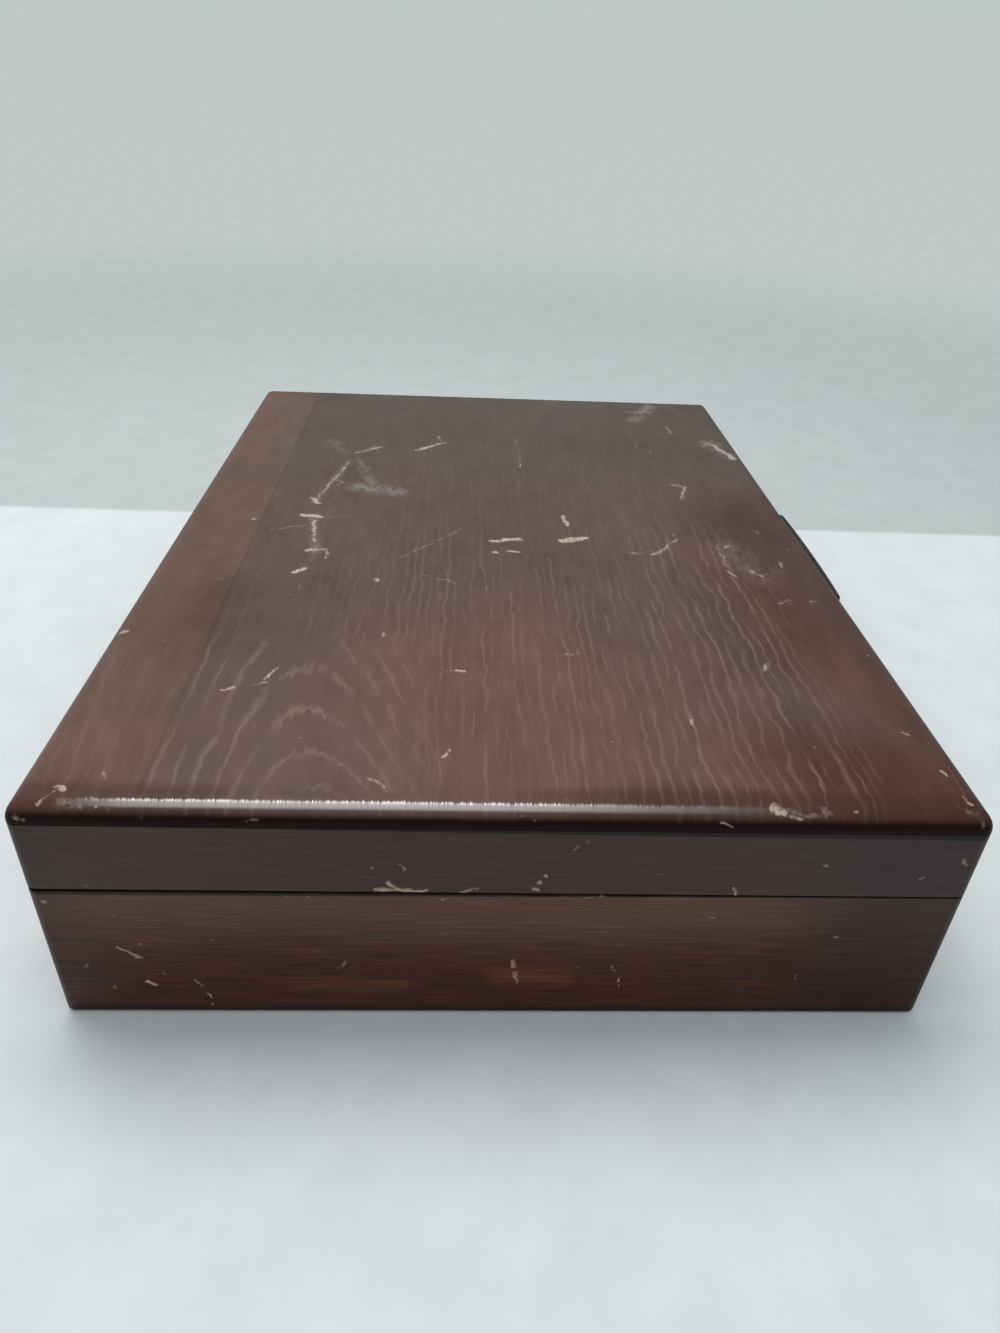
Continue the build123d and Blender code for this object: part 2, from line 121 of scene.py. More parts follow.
def touch(px, py):
    # the point of the closed chest, in mm, that shows at this pixel of the photograph
    across = (px - photoView["frameWide"] / 2) / photoView["focalPixels"]
    upward = (photoView["frameHigh"] / 2 - py) / photoView["focalPixels"]
    sight = (viewForward + viewRight * across + viewUp * upward).normalized()
    point = viewPlace / mm
    # the outline goes on below the floor, so only its top edge is round
    core = topHigh - Vector((roundOver, roundOver, roundOver))
    for step in range(sightSteps):
        outside = Vector(max(abs(point[i]) - core[i], 0) for i in range(3))
        point += sight * (outside.length - roundOver)
    return point


makeCamera()


drawing = {"tree": None}  # the node tree that the functions below add to


def feed(socket, value):
    if isinstance(value, bpy.types.NodeSocket):
        drawing["tree"].links.new(value, socket)
    else:
        socket.default_value = value


def feedAll(sockets, values):
    for place, value in values.items():
        feed(sockets[place], value)


def put(kind, values=None, **settings):
    node = drawing["tree"].nodes.new("ShaderNode" + kind)
    for name, value in settings.items():
        setattr(node, name, value)
    feedAll(node.inputs, values or {})
    return node


def calc(operation, *values):
    return put("Math", dict(enumerate(values)), operation=operation).outputs[0]


def chained(operation):
    def apply(result, *others):
        for other in others:
            result = calc(operation, result, other)
        return result

    return apply


plus, minus, times = chained("ADD"), chained("SUBTRACT"), chained("MULTIPLY")
larger, smaller = chained("MAXIMUM"), chained("MINIMUM")


def timesPlus(value, factor, addend):
    return calc("MULTIPLY_ADD", value, factor, addend)


def away(value, place):
    return calc("ABSOLUTE", minus(value, place))


def calcVector(operation, *values):
    places = (0, 3) if operation == "SCALE" else range(3)
    node = put("VectorMath", dict(zip(places, values)), operation=operation)
    scalar = operation in ("DOT_PRODUCT", "LENGTH", "DISTANCE")
    return node.outputs["Value" if scalar else "Vector"]


def split(vector):
    node = put("SeparateXYZ", {"Vector": vector})
    return node.outputs["X"], node.outputs["Y"], node.outputs["Z"]


def join(x, y, z):
    return put("CombineXYZ", {"X": x, "Y": y, "Z": z}).outputs["Vector"]


def fade(value, start, end, low=0.0, high=1.0):
    sockets = {"Value": value, "From Min": start, "From Max": end, "To Min": low, "To Max": high}
    return put("MapRange", sockets, interpolation_type="SMOOTHSTEP").outputs["Result"]


def cloud(point, stretch, detail=2.0, roughness=0.5):
    # noise whose lumps are about `stretch` mm long on each axis, from 0 to 1
    spread = calcVector("DIVIDE", point, stretch)
    sockets = {"Vector": spread, "Scale": 1.0, "Detail": detail, "Roughness": roughness}
    return put("TexNoise", sockets).outputs["Fac"]


def centred(value, span):
    # turns 0 to 1 into a range of this span about zero
    return timesPlus(value, span, -span / 2)


def waves(point, sizes, detail):
    # a sum of noises about zero; each gives its lumps' size and its span in mm
    return plus(*[centred(cloud(point, lumps, detail), span) for lumps, span in sizes])


def blend(share, first, second, mode="MIX"):
    values = {0: share, 6: first, 7: second}
    return put("Mix", values, data_type="RGBA", blend_type=mode).outputs[2]


def layered(colour, *layers):
    # lays colours over one another; each layer gives its share and its colour
    for share, over in layers:
        colour = blend(share, colour, over)
    return colour


def shadeBy(colour, shade):
    return blend(1.0, colour, join(shade, shade, shade), "MULTIPLY")


def newGroup(name, inputs, outputs):
    # a single number makes a float socket, three numbers a vector socket
    tree = bpy.data.node_groups.new(name, "ShaderNodeTree")
    for label, value in inputs.items():
        kind = "NodeSocketVector" if isinstance(value, tuple) else "NodeSocketFloat"
        tree.interface.new_socket(label, in_out="INPUT", socket_type=kind).default_value = value
    for label in outputs:
        tree.interface.new_socket(label, in_out="OUTPUT", socket_type="NodeSocketFloat")
    drawing["tree"] = tree
    return tree.nodes.new("NodeGroupInput").outputs, tree.nodes.new("NodeGroupOutput").inputs


def giveOut(out, **results):
    feedAll(out, results)


def socketLabel(word):
    # a word like halfWidth stands for the socket Half Width
    return "".join(" " + c if c.isupper() else c for c in word).title().replace("Ior", "IOR")


def use(group, point, **sockets):
    values = {socketLabel(word): value for word, value in sockets.items()}
    return put("Group", {"Point": point, **values}, node_tree=bpy.data.node_groups[group]).outputs


ringShape = {  # lumps and spans in mm
    "sway": (((90, 30, 40), 5.0), ((22, 9, 20), 4.0), ((7, 5, 20), 2.0)),
    "teeth": (((26, 11, 20), 2.2), ((9, 1.6, 20), 2.1)),  # of the arches' tips
    "driftEnds": 90.0,  # from the near end
    "toothed": (4.0, 18.0, 1.0, 0.15),  # beside the heart
    "thinner": (0.0, 22.0, 0.7, 1.0),
    "unevenOver": 2.3,  # rings
    "swellLumps": (20, 5, 20),
    "swell": (0.3, 0.7, 0.45, 1.35),
    "patchLumps": (26, 5, 20),
    "patch": (0.34, 0.56),
    "faintest": 0.5,
}


def makeGrowthRings():
    # light lines: arches that close away from the near end, straight lines beside them
    shape = ringShape
    inputs = {
        "Point": (0, 0, 0), "Heart": 60.0, "Drift": 0.0, "Depth": 20.0, "Rise": 45.0, "Reach": 110.0,
        "Near End": -195.0, "Spacing": 5.0, "Uneven": 1.3, "Thickness": 1.0, "Waver": 1.0,
    }
    inside, out = newGroup("growthRings", inputs, ("Line", "Band"))
    point, waver, spacing = inside["Point"], inside["Waver"], inside["Spacing"]
    x, y, z = split(point)
    fromEnd = minus(x, inside["Near End"])
    sink = calc("DIVIDE", fromEnd, times(inside["Reach"], -1.0))
    risen = minus(1.0, calc("EXPONENT", sink))
    heart = timesPlus(smaller(fromEnd, shape["driftEnds"]), inside["Drift"], inside["Heart"])
    besideHeart = away(y, heart)
    teeth = waves(point, shape["teeth"], 2.0)
    teeth = times(teeth, fade(besideHeart, *shape["toothed"]))
    depth = timesPlus(teeth, waver, timesPlus(risen, inside["Rise"], inside["Depth"]))
    sway = waves(point, shape["sway"], 1.0)
    side = timesPlus(sway, waver, minus(y, heart))
    count = calc("DIVIDE", calcVector("LENGTH", join(side, depth, 0.0)), spacing)
    uneven = cloud(join(count, 0.0, 0.0), (shape["unevenOver"], 1, 1), 0.0)
    count = timesPlus(uneven, inside["Uneven"], count)
    nearest = times(away(calc("FRACT", count), 0.5), spacing)
    swell = fade(cloud(point, shape["swellLumps"]), *shape["swell"])
    thick = times(swell, fade(besideHeart, *shape["thinner"]))
    line = fade(nearest, times(inside["Thickness"], thick), 0.0)
    ring = {"W": calc("FLOOR", count)}
    own = put("TexWhiteNoise", ring, noise_dimensions="1D").outputs["Value"]
    strength = timesPlus(own, 1 - shape["faintest"], shape["faintest"])
    patch = fade(cloud(point, shape["patchLumps"]), *shape["patch"])
    giveOut(out, Line=times(line, times(strength, patch)), Band=own)


def makeGrainStreaks():
    inputs = {"Point": (0, 0, 0), "Length": 60.0, "Width": 0.8}
    inside, out = newGroup("grainStreaks", inputs, ("Streak", "Pores"))
    broad = join(inside["Length"], inside["Width"], inside["Width"])
    fine = calcVector("MULTIPLY", broad, (0.12, 0.45, 0.45))
    pores = fade(cloud(inside["Point"], fine, 1.0), 0.63, 0.76)
    giveOut(out, Streak=cloud(inside["Point"], broad, 4.0, 0.6), Pores=pores)


def makeBoxEdge():
    # distance in mm from a point on a box-shaped piece to the nearest of its edges
    inputs = {"Point": (0, 0, 0), "Low": (0, 0, 0), "High": (1, 1, 1)}
    inside, out = newGroup("boxEdge", inputs, ("Distance",))
    fromLow = calcVector("SUBTRACT", inside["Point"], inside["Low"])
    fromHigh = calcVector("SUBTRACT", inside["High"], inside["Point"])
    a, b, c = split(calcVector("MINIMUM", fromLow, fromHigh))
    giveOut(out, Distance=larger(smaller(a, b), smaller(larger(a, b), c)))


def makeEdgeWear():
    inputs = {"Point": (0, 0, 0), "Distance": 5.0, "Width": 1.5, "Amount": 0.4}
    inside, out = newGroup("edgeWear", inputs, ("Rubbed", "Chipped"))
    point, distance, width, amount = (inside[label] for label in inputs)
    near = times(fade(distance, width, 0.0), fade(cloud(point, (9, 9, 9), 3.0, 0.6), 0.35, 0.75))
    grit = cloud(point, (2.2, 2.2, 2.2), 3.0, 0.65)
    where = cloud(point, (34, 34, 34), 1.0)
    level = minus(0.92, times(amount, where))
    chips = fade(grit, level, plus(level, 0.05))
    close = fade(distance, times(width, 0.8), 0.2)
    giveOut(out, Rubbed=times(near, amount), Chipped=times(chips, close))


def makeWearMark():
    # one dent, dab or scratch: a stroke from Start to End that joins the marks before it
    inputs = {
        "Marks": 0.0, "Point": (0, 0, 0), "Start": (0, 0, 0), "End": (0, 0, 0),
        "Half Width": 1.0, "Softness": 0.5, "Strength": 1.0,
    }
    inside, out = newGroup("wearMark", inputs, ("Marks",))
    marks, point, start, end, halfWidth, softness, strength = (inside[label] for label in inputs)
    span = calcVector("SUBTRACT", end, start)
    offset = calcVector("SUBTRACT", point, start)
    length = larger(calcVector("DOT_PRODUCT", span, span), 0.001)
    share = calc("DIVIDE", calcVector("DOT_PRODUCT", offset, span), length)
    share = smaller(larger(share, 0.0), 1.0)
    distance = calcVector("DISTANCE", offset, calcVector("SCALE", span, share))
    core = times(halfWidth, minus(1.0, softness))
    giveOut(out, Marks=larger(marks, fade(distance, halfWidth, core, 0.0, strength)))


def makeRaggedEdge():
    # breaks soft marks up into torn, gritty ones; the fainter a mark, the more broken it is
    inputs = {"Marks": 0.0, "Point": (0, 0, 0), "Grit": 1.0}
    inside, out = newGroup("raggedEdge", inputs, ("Mask",))
    marks, point, size = (inside[label] for label in inputs)
    size = join(size, size, size)
    grit = centred(cloud(point, size, 4.0, 0.75), 1.7)
    lumps = centred(cloud(point, calcVector("SCALE", size, 3.5)), 0.9)
    torn = fade(plus(marks, plus(grit, lumps)), 0.22, 0.8)
    giveOut(out, Mask=times(torn, fade(marks, 0.03, 0.4)))


def makeHandling():
    # what years of use leave: a soft bloom, fine specks and hairline scratches
    inputs = {"Point": (0, 0, 0), "Scale": 1.0}
    inside, out = newGroup("handling", inputs, ("Bloom", "Specks", "Hairlines"))
    point = calcVector("SCALE", inside["Point"], inside["Scale"])
    bloom = fade(cloud(point, (60, 60, 60), 3.0, 0.55), 0.3, 0.7)
    seeds = put("TexVoronoi", {"Vector": calcVector("DIVIDE", point, (9, 9, 9)), "Scale": 1.0})
    rare = fade(split(seeds.outputs["Color"])[0], 0.8, 0.86)
    specks = times(fade(seeds.outputs["Distance"], 0.075, 0.03), rare)
    turned = calcVector("MULTIPLY", point, (0.35, 1.0, 1.0))
    wave = put("TexNoise", {"Vector": calcVector("DIVIDE", turned, (40, 40, 40)), "Scale": 1.0})
    bent = calcVector("ADD", point, calcVector("SCALE", wave.outputs["Color"], 30.0))
    thin = fade(cloud(bent, (70, 1.1, 1.1), 1.0), 0.7, 0.78)
    giveOut(out, Bloom=bloom, Specks=specks, Hairlines=times(thin, fade(bloom, 0.4, 0.8)))


def makeFlannelNap():
    inside, out = newGroup("flannelNap", {"Point": (0, 0, 0)}, ("Shade", "Height"))
    fuzz = cloud(inside["Point"], (0.55, 0.55, 0.55), 4.0, 0.7)
    brushed = cloud(inside["Point"], (26, 9, 9), 3.0, 0.6)
    twillPitch = 1.1  # mm
    x, y, z = split(calcVector("SCALE", inside["Point"], 2 * math.pi / twillPitch))
    twill = calc("SINE", plus(x, plus(y, z)))
    shade = plus(times(fuzz, 0.5), times(brushed, 0.5))
    giveOut(out, Shade=shade, Height=plus(fuzz, times(twill, 0.06)))


def makeMetalAge():
    inputs = {"Point": (0, 0, 0), "Brushing": (8, 0.3, 0.3)}
    inside, out = newGroup("metalAge", inputs, ("Tarnish", "Brushed", "Pits"))
    tarnish = fade(cloud(inside["Point"], (7, 7, 7), 4.0, 0.6), 0.35, 0.72)
    brushed = cloud(inside["Point"], inside["Brushing"], 3.0, 0.6)
    pits = fade(cloud(inside["Point"], (0.8, 0.8, 0.8)), 0.66, 0.74)
    giveOut(out, Tarnish=tarnish, Brushed=brushed, Pits=pits)


for makeEffect in (
    makeGrowthRings, makeGrainStreaks, makeBoxEdge, makeEdgeWear, makeWearMark,
    makeRaggedEdge, makeHandling, makeFlannelNap, makeMetalAge,
):
    makeEffect()
print("shared effects:", len(bpy.data.node_groups))


def newMaterial(name, **shaderValues):
    material = bpy.data.materials.new(name)
    material.use_nodes = True
    material.node_tree.nodes.clear()
    drawing["tree"] = material.node_tree
    shader = put("BsdfPrincipled")
    for word, value in shaderValues.items():
        feed(shader.inputs[socketLabel(word)], value)
    put("OutputMaterial", {"Surface": shader.outputs["BSDF"]})
    place = put("TexCoord").outputs["Object"]
    return material, shader, calcVector("SCALE", place, 1 / mm)


def finishShader(shader, colour, rough, height, reliefInMm):
    bump = put("Bump", {"Height": height, "Strength": 1.0, "Distance": reliefInMm * mm})
    results = {"Base Color": colour, "Roughness": rough, "Normal": bump.outputs["Normal"]}
    feedAll(shader.inputs, results)


def addMarks(point, marks, widen=1.0, softness=1.0):
    # each mark: first pixel, last pixel, half width in mm, strength
    joined = 0.0
    for fromX, fromY, toX, toY, halfWidth, strength in marks.values():
        joined = use(
            "wearMark", point, marks=joined, start=touch(fromX, fromY), end=touch(toX, toY),
            halfWidth=halfWidth * widen, softness=softness, strength=strength,
        )["Marks"]
    return joined


tornLook = {
    "thinnestDab": 0.8,  # mm, half of a mark's width; thinner marks are scratches
    "wander": 4.5,  # how far a line strays, mm
    "wanderOver": (5.5, 5.5, 5.5),
    "scratch": (1.2, 0.7),  # widened, softness
    "breaks": (0.32, 0.56, 0.3, 1.0),
    "faded": (0.0, 0.8, 0.35, 1.0),
}


def tornMarks(point, marks, grit=0.9, widen=1.45):
    # dabs with a torn outline and thin scratches, on lines that wander a little
    look = tornLook
    spread = calcVector("DIVIDE", point, look["wanderOver"])
    stray = put("TexNoise", {"Vector": spread, "Scale": 1.0, "Detail": 2.0}).outputs["Color"]
    stray = calcVector("SUBTRACT", stray, (0.5, 0.5, 0.5))
    loose = calcVector("ADD", point, calcVector("SCALE", stray, look["wander"]))
    dabs = {name: mark for name, mark in marks.items() if mark[4] > look["thinnestDab"]}
    scratches = {name: mark for name, mark in marks.items() if name not in dabs}
    soft = addMarks(loose, dabs, widen)
    mask = use("raggedEdge", point, marks=soft, grit=grit)["Mask"]
    mask = times(mask, fade(soft, *look["faded"]))
    if scratches:
        broken = fade(cloud(point, (2.4, 2.4, 2.4)), *look["breaks"])
        mask = larger(mask, times(addMarks(loose, scratches, *look["scratch"]), broken))
    return mask


# places in the photograph, in pixels, of what time left on the top board
topMarks = {
    "farTick": (333, 443, 344, 443, 1.6, 0.4),
    "farCurl": (357, 453, 379, 447, 1.5, 0.6),
    "farDab": (399, 443, 408, 443, 1.6, 0.3),
    "arrowShaft": (416, 450, 444, 443, 1.6, 0.75),
    "arrowBarb": (444, 443, 437, 436, 1.4, 0.6),
    "longStroke": (350, 461, 314, 502, 1.3, 0.62),
    "strokeBranch": (332, 478, 347, 484, 1.4, 0.45),
    "strokeFoot": (312, 498, 318, 503, 1.8, 0.85),
    "crossBar": (302, 515, 322, 517, 1.9, 1.0),
    "crossBarTail": (322, 517, 349, 517, 0.9, 0.5),
    "crossStem": (316, 520, 314, 540, 1.3, 0.85),
    "crossFoot": (309, 550, 325, 549, 1.8, 0.7),
    "crossHook": (325, 549, 327, 558, 1.0, 0.6),
    "lowDash": (295, 572, 305, 568, 1.8, 1.0),
    "lowDot": (300, 584, 300, 588, 0.9, 0.5),
    "stripSpeck": (252, 519, 253, 519, 1.8, 0.6),
    "stripDab": (220, 579, 225, 579, 1.6, 0.3),
    "faintLine": (271, 529, 319, 523, 0.7, 0.3),
    "diagonalLine": (399, 558, 462, 529, 0.6, 0.35),
    "brightSpeck": (376, 579, 378, 580, 1.5, 1.0),
    "leftEdgeChip": (120, 633, 126, 631, 1.5, 0.85),
    "slantNick": (275, 669, 265, 680, 1.0, 0.75),
    "nickTail": (266, 683, 249, 686, 0.6, 0.5),
    "paleNick": (219, 690, 231, 688, 1.1, 0.9),
    "midDab": (459, 670, 464, 671, 1.3, 0.9),
    "midDot": (448, 671, 453, 671, 0.9, 0.7),
    "lightTick": (448, 751, 442, 757, 1.0, 0.85),
    "redScratch": (370, 777, 387, 792, 0.7, 0.5),
    "archTick": (341, 765, 337, 768, 0.6, 0.6),
    "leftLine": (105, 764, 103, 779, 0.5, 0.6),
    "leftGash": (92, 796, 98, 809, 0.4, 0.95),
    "nearArrow": (35, 806, 54, 790, 0.55, 1.0),
    "nearArrowHead": (53, 785, 64, 790, 0.95, 1.0),
    "creamDash": (492, 541, 519, 539, 2.0, 1.0),
    "creamDots": (494, 552, 498, 553, 1.1, 0.8),
    "creamDotsRight": (509, 551, 519, 552, 1.2, 0.95),
    "creamDashRight": (562, 541, 586, 538, 2.2, 1.0),
    "dashTick": (562, 516, 568, 525, 1.6, 0.95),
    "curlTop": (669, 484, 685, 487, 1.4, 0.6),
    "curlSide": (685, 487, 680, 500, 1.2, 0.6),
    "hookBase": (627, 553, 636, 553, 1.3, 0.5),
    "hookBaseRight": (651, 554, 660, 552, 1.5, 0.6),
    "hookRise": (660, 552, 677, 540, 1.3, 0.6),
    "hookTip": (677, 539, 671, 531, 1.0, 0.5),
    "farDots": (648, 409, 640, 415, 1.8, 0.42),
    "farDotsTop": (630, 404, 633, 408, 1.5, 0.4),
    "farDotsLow": (636, 418, 627, 421, 1.5, 0.35),
    "farTall": (664, 426, 671, 433, 1.1, 0.55),
    "farSpeck": (636, 442, 635, 447, 1.2, 0.4),
    "farSpeckLow": (648, 449, 650, 453, 1.3, 0.4),
    "centreThread": (515, 437, 520, 461, 0.5, 0.35),
    "centreThreadFoot": (520, 461, 520, 467, 0.9, 0.65),
    "twinDots": (572, 497, 580, 497, 1.3, 0.35),
    "leftDab": (401, 440, 402, 445, 1.2, 0.3),
    "faintBow": (422, 575, 454, 582, 0.8, 0.3),
    "grainSpeck": (384, 633, 384, 636, 0.8, 0.6),
    "centreSpecks": (561, 656, 579, 652, 1.3, 0.5),
    "wedgeUpper": (704, 447, 712, 440, 2.0, 0.45),
    "wedgeLower": (714, 446, 734, 459, 2.9, 0.7),
    "ringLeft": (717, 545, 719, 550, 1.4, 0.5),
    "ringLeftDrop": (719, 552, 727, 565, 0.8, 0.4),
    "ringTop": (727, 545, 727, 548, 1.4, 0.5),
    "ringLow": (728, 571, 735, 576, 1.5, 0.6),
    "ringLowRight": (750, 571, 760, 576, 1.5, 0.6),
    "ringRight": (781, 561, 782, 570, 1.2, 0.45),
    "ringFar": (753, 530, 759, 534, 1.2, 0.4),
    "ringEdge": (786, 547, 789, 550, 1.3, 0.4),
    "rightDab": (780, 604, 789, 600, 1.5, 0.55),
    "rightDabFar": (812, 603, 817, 600, 1.5, 0.5),
    "rightCluster": (762, 670, 769, 664, 1.2, 0.6),
    "nearRightTick": (691, 721, 696, 726, 1.1, 0.65),
    "nearRightSpeck": (905, 733, 911, 736, 1.0, 0.5),
    "rightEdgeChip": (940, 771, 945, 774, 1.1, 0.9),
    "rightEdgeSplit": (963, 797, 971, 804, 0.7, 0.8),
    "edgeChip": (775, 808, 782, 813, 1.6, 1.0),
    "edgeChipTail": (789, 816, 803, 819, 0.7, 0.8),
    "edgeDab": (821, 809, 828, 816, 0.8, 0.45),
    "edgeSpeck": (855, 812, 858, 812, 0.9, 0.6),
    "edgeScratch": (720, 819, 732, 828, 0.5, 0.85),
    "bandCurve": (523, 814, 533, 821, 0.35, 0.4),
    "bandDot": (251, 822, 257, 822, 0.5, 0.5),
    "bandDotRight": (294, 822, 296, 822, 0.5, 0.9),
    "cornerRub": (14, 816, 17, 819, 0.9, 0.6),
}

# rubbed places on the top board that break up into grit
topRubs = {
    "leftRub": (60, 803, 78, 805, 2.8, 0.6),
    "leftRubLow": (100, 802, 108, 810, 1.4, 0.45),
    "scuff": (566, 799, 572, 806, 1.5, 0.4),
    "scuffRight": (600, 803, 616, 809, 1.5, 0.45),
    "chipRub": (786, 812, 830, 816, 1.5, 0.5),
    "strokeRub": (345, 465, 312, 560, 3.6, 0.3),
    "ringRub": (730, 545, 780, 572, 9.0, 0.28),
    "ringRubNear": (745, 600, 800, 604, 9.0, 0.24),
    "farRightRub": (628, 412, 650, 412, 6.0, 0.45),
    "cornerGrit": (15, 814, 22, 821, 1.2, 0.4),
    "farCornerGrit": (970, 811, 982, 822, 2.0, 0.45),
}

# soft stains and lighter smears on the top board
topSmears = {
    "blueSmear": (358, 487, 396, 491, 9.0, 1.0),
    "blueSmearSide": (364, 468, 376, 489, 5.0, 0.7),
    "blueSmearTop": (357, 458, 366, 470, 3.0, 0.5),
    "wedge": (709, 444, 727, 454, 9.0, 1.0),
    "farHaze": (650, 406, 634, 420, 7.0, 0.8),
    "strokeHaze": (350, 461, 316, 500, 4.2, 0.45),
    "crossHaze": (312, 513, 317, 552, 4.2, 0.55),
    "curlHaze": (358, 452, 380, 446, 3.6, 0.6),
    "arrowHaze": (420, 450, 443, 442, 4.0, 0.5),
    "topCurlHaze": (678, 485, 684, 492, 2.6, 0.4),
    "hookHaze": (636, 554, 668, 549, 2.4, 0.35),
    "farPatch": (330, 440, 345, 452, 5.0, 0.3),
    "ringHaze": (722, 548, 760, 575, 15.0, 0.28),
}

# where the stain under the varnish is lighter and redder
redPlaces = {
    "middle": (490, 680, 540, 770, 78.0, 0.8),
    "nearRight": (760, 775, 930, 780, 34.0, 1.0),
    "nearLeft": (40, 792, 100, 750, 30.0, 0.9),
    "farStrip": (275, 420, 250, 455, 24.0, 0.4),
    "nearEdge": (560, 800, 800, 803, 11.0, 0.7),
    "right": (720, 560, 890, 710, 28.0, 0.55),
    "stripRim": (275, 395, 237, 458, 14.0, 0.6),
}

# where it is paler
palePlaces = {
    "arches": (300, 770, 520, 760, 62.0, 0.85),
    "middleNear": (560, 700, 420, 660, 60.0, 0.6),
    "farStrip": (290, 402, 275, 440, 26.0, 1.0),
    "redMiddle": (520, 640, 500, 760, 50.0, 0.6),
}

# where it is darker
darkPlaces = {
    "rightSide": (800, 640, 740, 520, 50.0, 0.68),
    "nearRight": (830, 770, 940, 790, 42.0, 1.0),
    "nearEdgeRight": (640, 797, 940, 799, 12.0, 0.6),
    "stripMiddle": (190, 640, 230, 590, 26.0, 0.5),
    "farEdge": (330, 396, 690, 404, 20.0, 0.4),
    "nearRightCorner": (890, 770, 960, 790, 36.0, 0.9),
    "rightEdge": (950, 785, 760, 500, 15.0, 0.55),
    "nearLeftCorner": (20, 808, 60, 790, 20.0, 0.5),
}

topLook = {
    "brown": (0.119, 0.071, 0.060, 1),
    "deepBrown": (0.102, 0.063, 0.055, 1),
    "red": (0.150, 0.076, 0.059, 1),
    "dark": (0.050, 0.019, 0.013, 1),
    "lowEdgeShade": (0.011, 0.0025, 0.002, 1),  # painted shade on the lower half of the rounded edge
    "pale": (0.160, 0.104, 0.090, 1),
    "strip": (0.131, 0.077, 0.059, 1),
    "cool": (0.088, 0.066, 0.056, 1),  # the greyer far half
    "line": (0.215, 0.146, 0.119, 1),
    "arch": (0.20, 0.13, 0.115, 1),  # between the arches' lines
    "bareWood": (0.62, 0.505, 0.43, 1),
    "smear": (0.31, 0.275, 0.265, 1),
    "stripEdge": (104.2, 105.2),  # mm from the middle to the strip beside the hinges, near and far
    "coolAlong": (-10.0, 115.0, 0.0, 0.85),
    "rimInset": (13.0, 7.5),  # of a darker rim beside the near edge
    "rimLeastAt": 35.0,  # at the arches' right
    "rimBeside": (32.0, 58.0, 0.2, 1.0),
    "lowEdgeShadeDrop": (1.5, 4.0),
    "inArch": (0.04, 0.16),
    "grain": {"length": 34.0, "width": 0.7},
    "wear": {"width": 5.0, "amount": 0.2},
    "reliefDepth": 0.14,
}
topShares = {
    "strip": 0.75, "pale": 0.28, "dark": 0.72, "pores": 0.14, "line": 0.7, "seam": 0.25, "rim": 0.5,
    "rubs": 0.55, "chips": 0.4, "specks": 0.35, "hairlines": 0.12, "smear": 0.62, "bare": 0.8,
}

# kinds of grain lines; those with no depth run straight beside a heart off the board
lineKinds = {
    "arches": {
        "heart": 54.0, "drift": 0.19, "depth": 18.3, "rise": 36.0, "spacing": 4.75, "uneven": 0.0,
    },
    "bold": {"heart": 190.0, "spacing": 4.3, "thickness": 1.15, "waver": 1.35},
    "fine": {"heart": 230.0, "spacing": 3.6, "thickness": 0.85, "waver": 1.1},
}
straightLines = {"depth": 0.0, "rise": 0.0, "uneven": 0.8}

# where they show, in mm from none to full: arches at the near left, bold lines beside the pull
lineFields = {
    "archesAcross": (12.0, 40.0),
    "archesAlong": (-92.0, -124.0),
    "archLegs": (48.0, 58.0, 0.7, 1.0),
    "flareAlong": (-60.0, -150.0, 0.0, 22.0),
    "boldAcross": (-44.0, -64.0),
    "boldEdge": (-116.0, -98.0, 0.08, 1.0),
    "boldAlong": (40.0, -55.0),
    "fineHingeSide": (96.0, 30.0, 0.3, 1.0),
    "finePullSide": (-112.0, -84.0, 0.08, 1.0),
    "fineFar": (20.0, -95.0, 0.24, 0.8),
    "fineFarEnd": (128.0, 70.0, 0.1, 1.0),
}

# the polished band on the near rounded edge, which mirrors the lamp; below and inward in mm
polishCoat = {"coatRoughness": 0.24, "coatIor": 3.9}
polish = {
    "begins": (0.12, 0.64),
    "ends": (2.2, 1.15),
    "hatchLumps": (5, 0.45, 4),
    "hatchDepth": 0.7,
    "hatch": (0.36, 0.62, 0.75, 1.0),
    "fromEnd": (9.0, 6.0),
    "fromSide": (10.0, 34.0),
    "pullSide": (-100.0, -52.0),
}


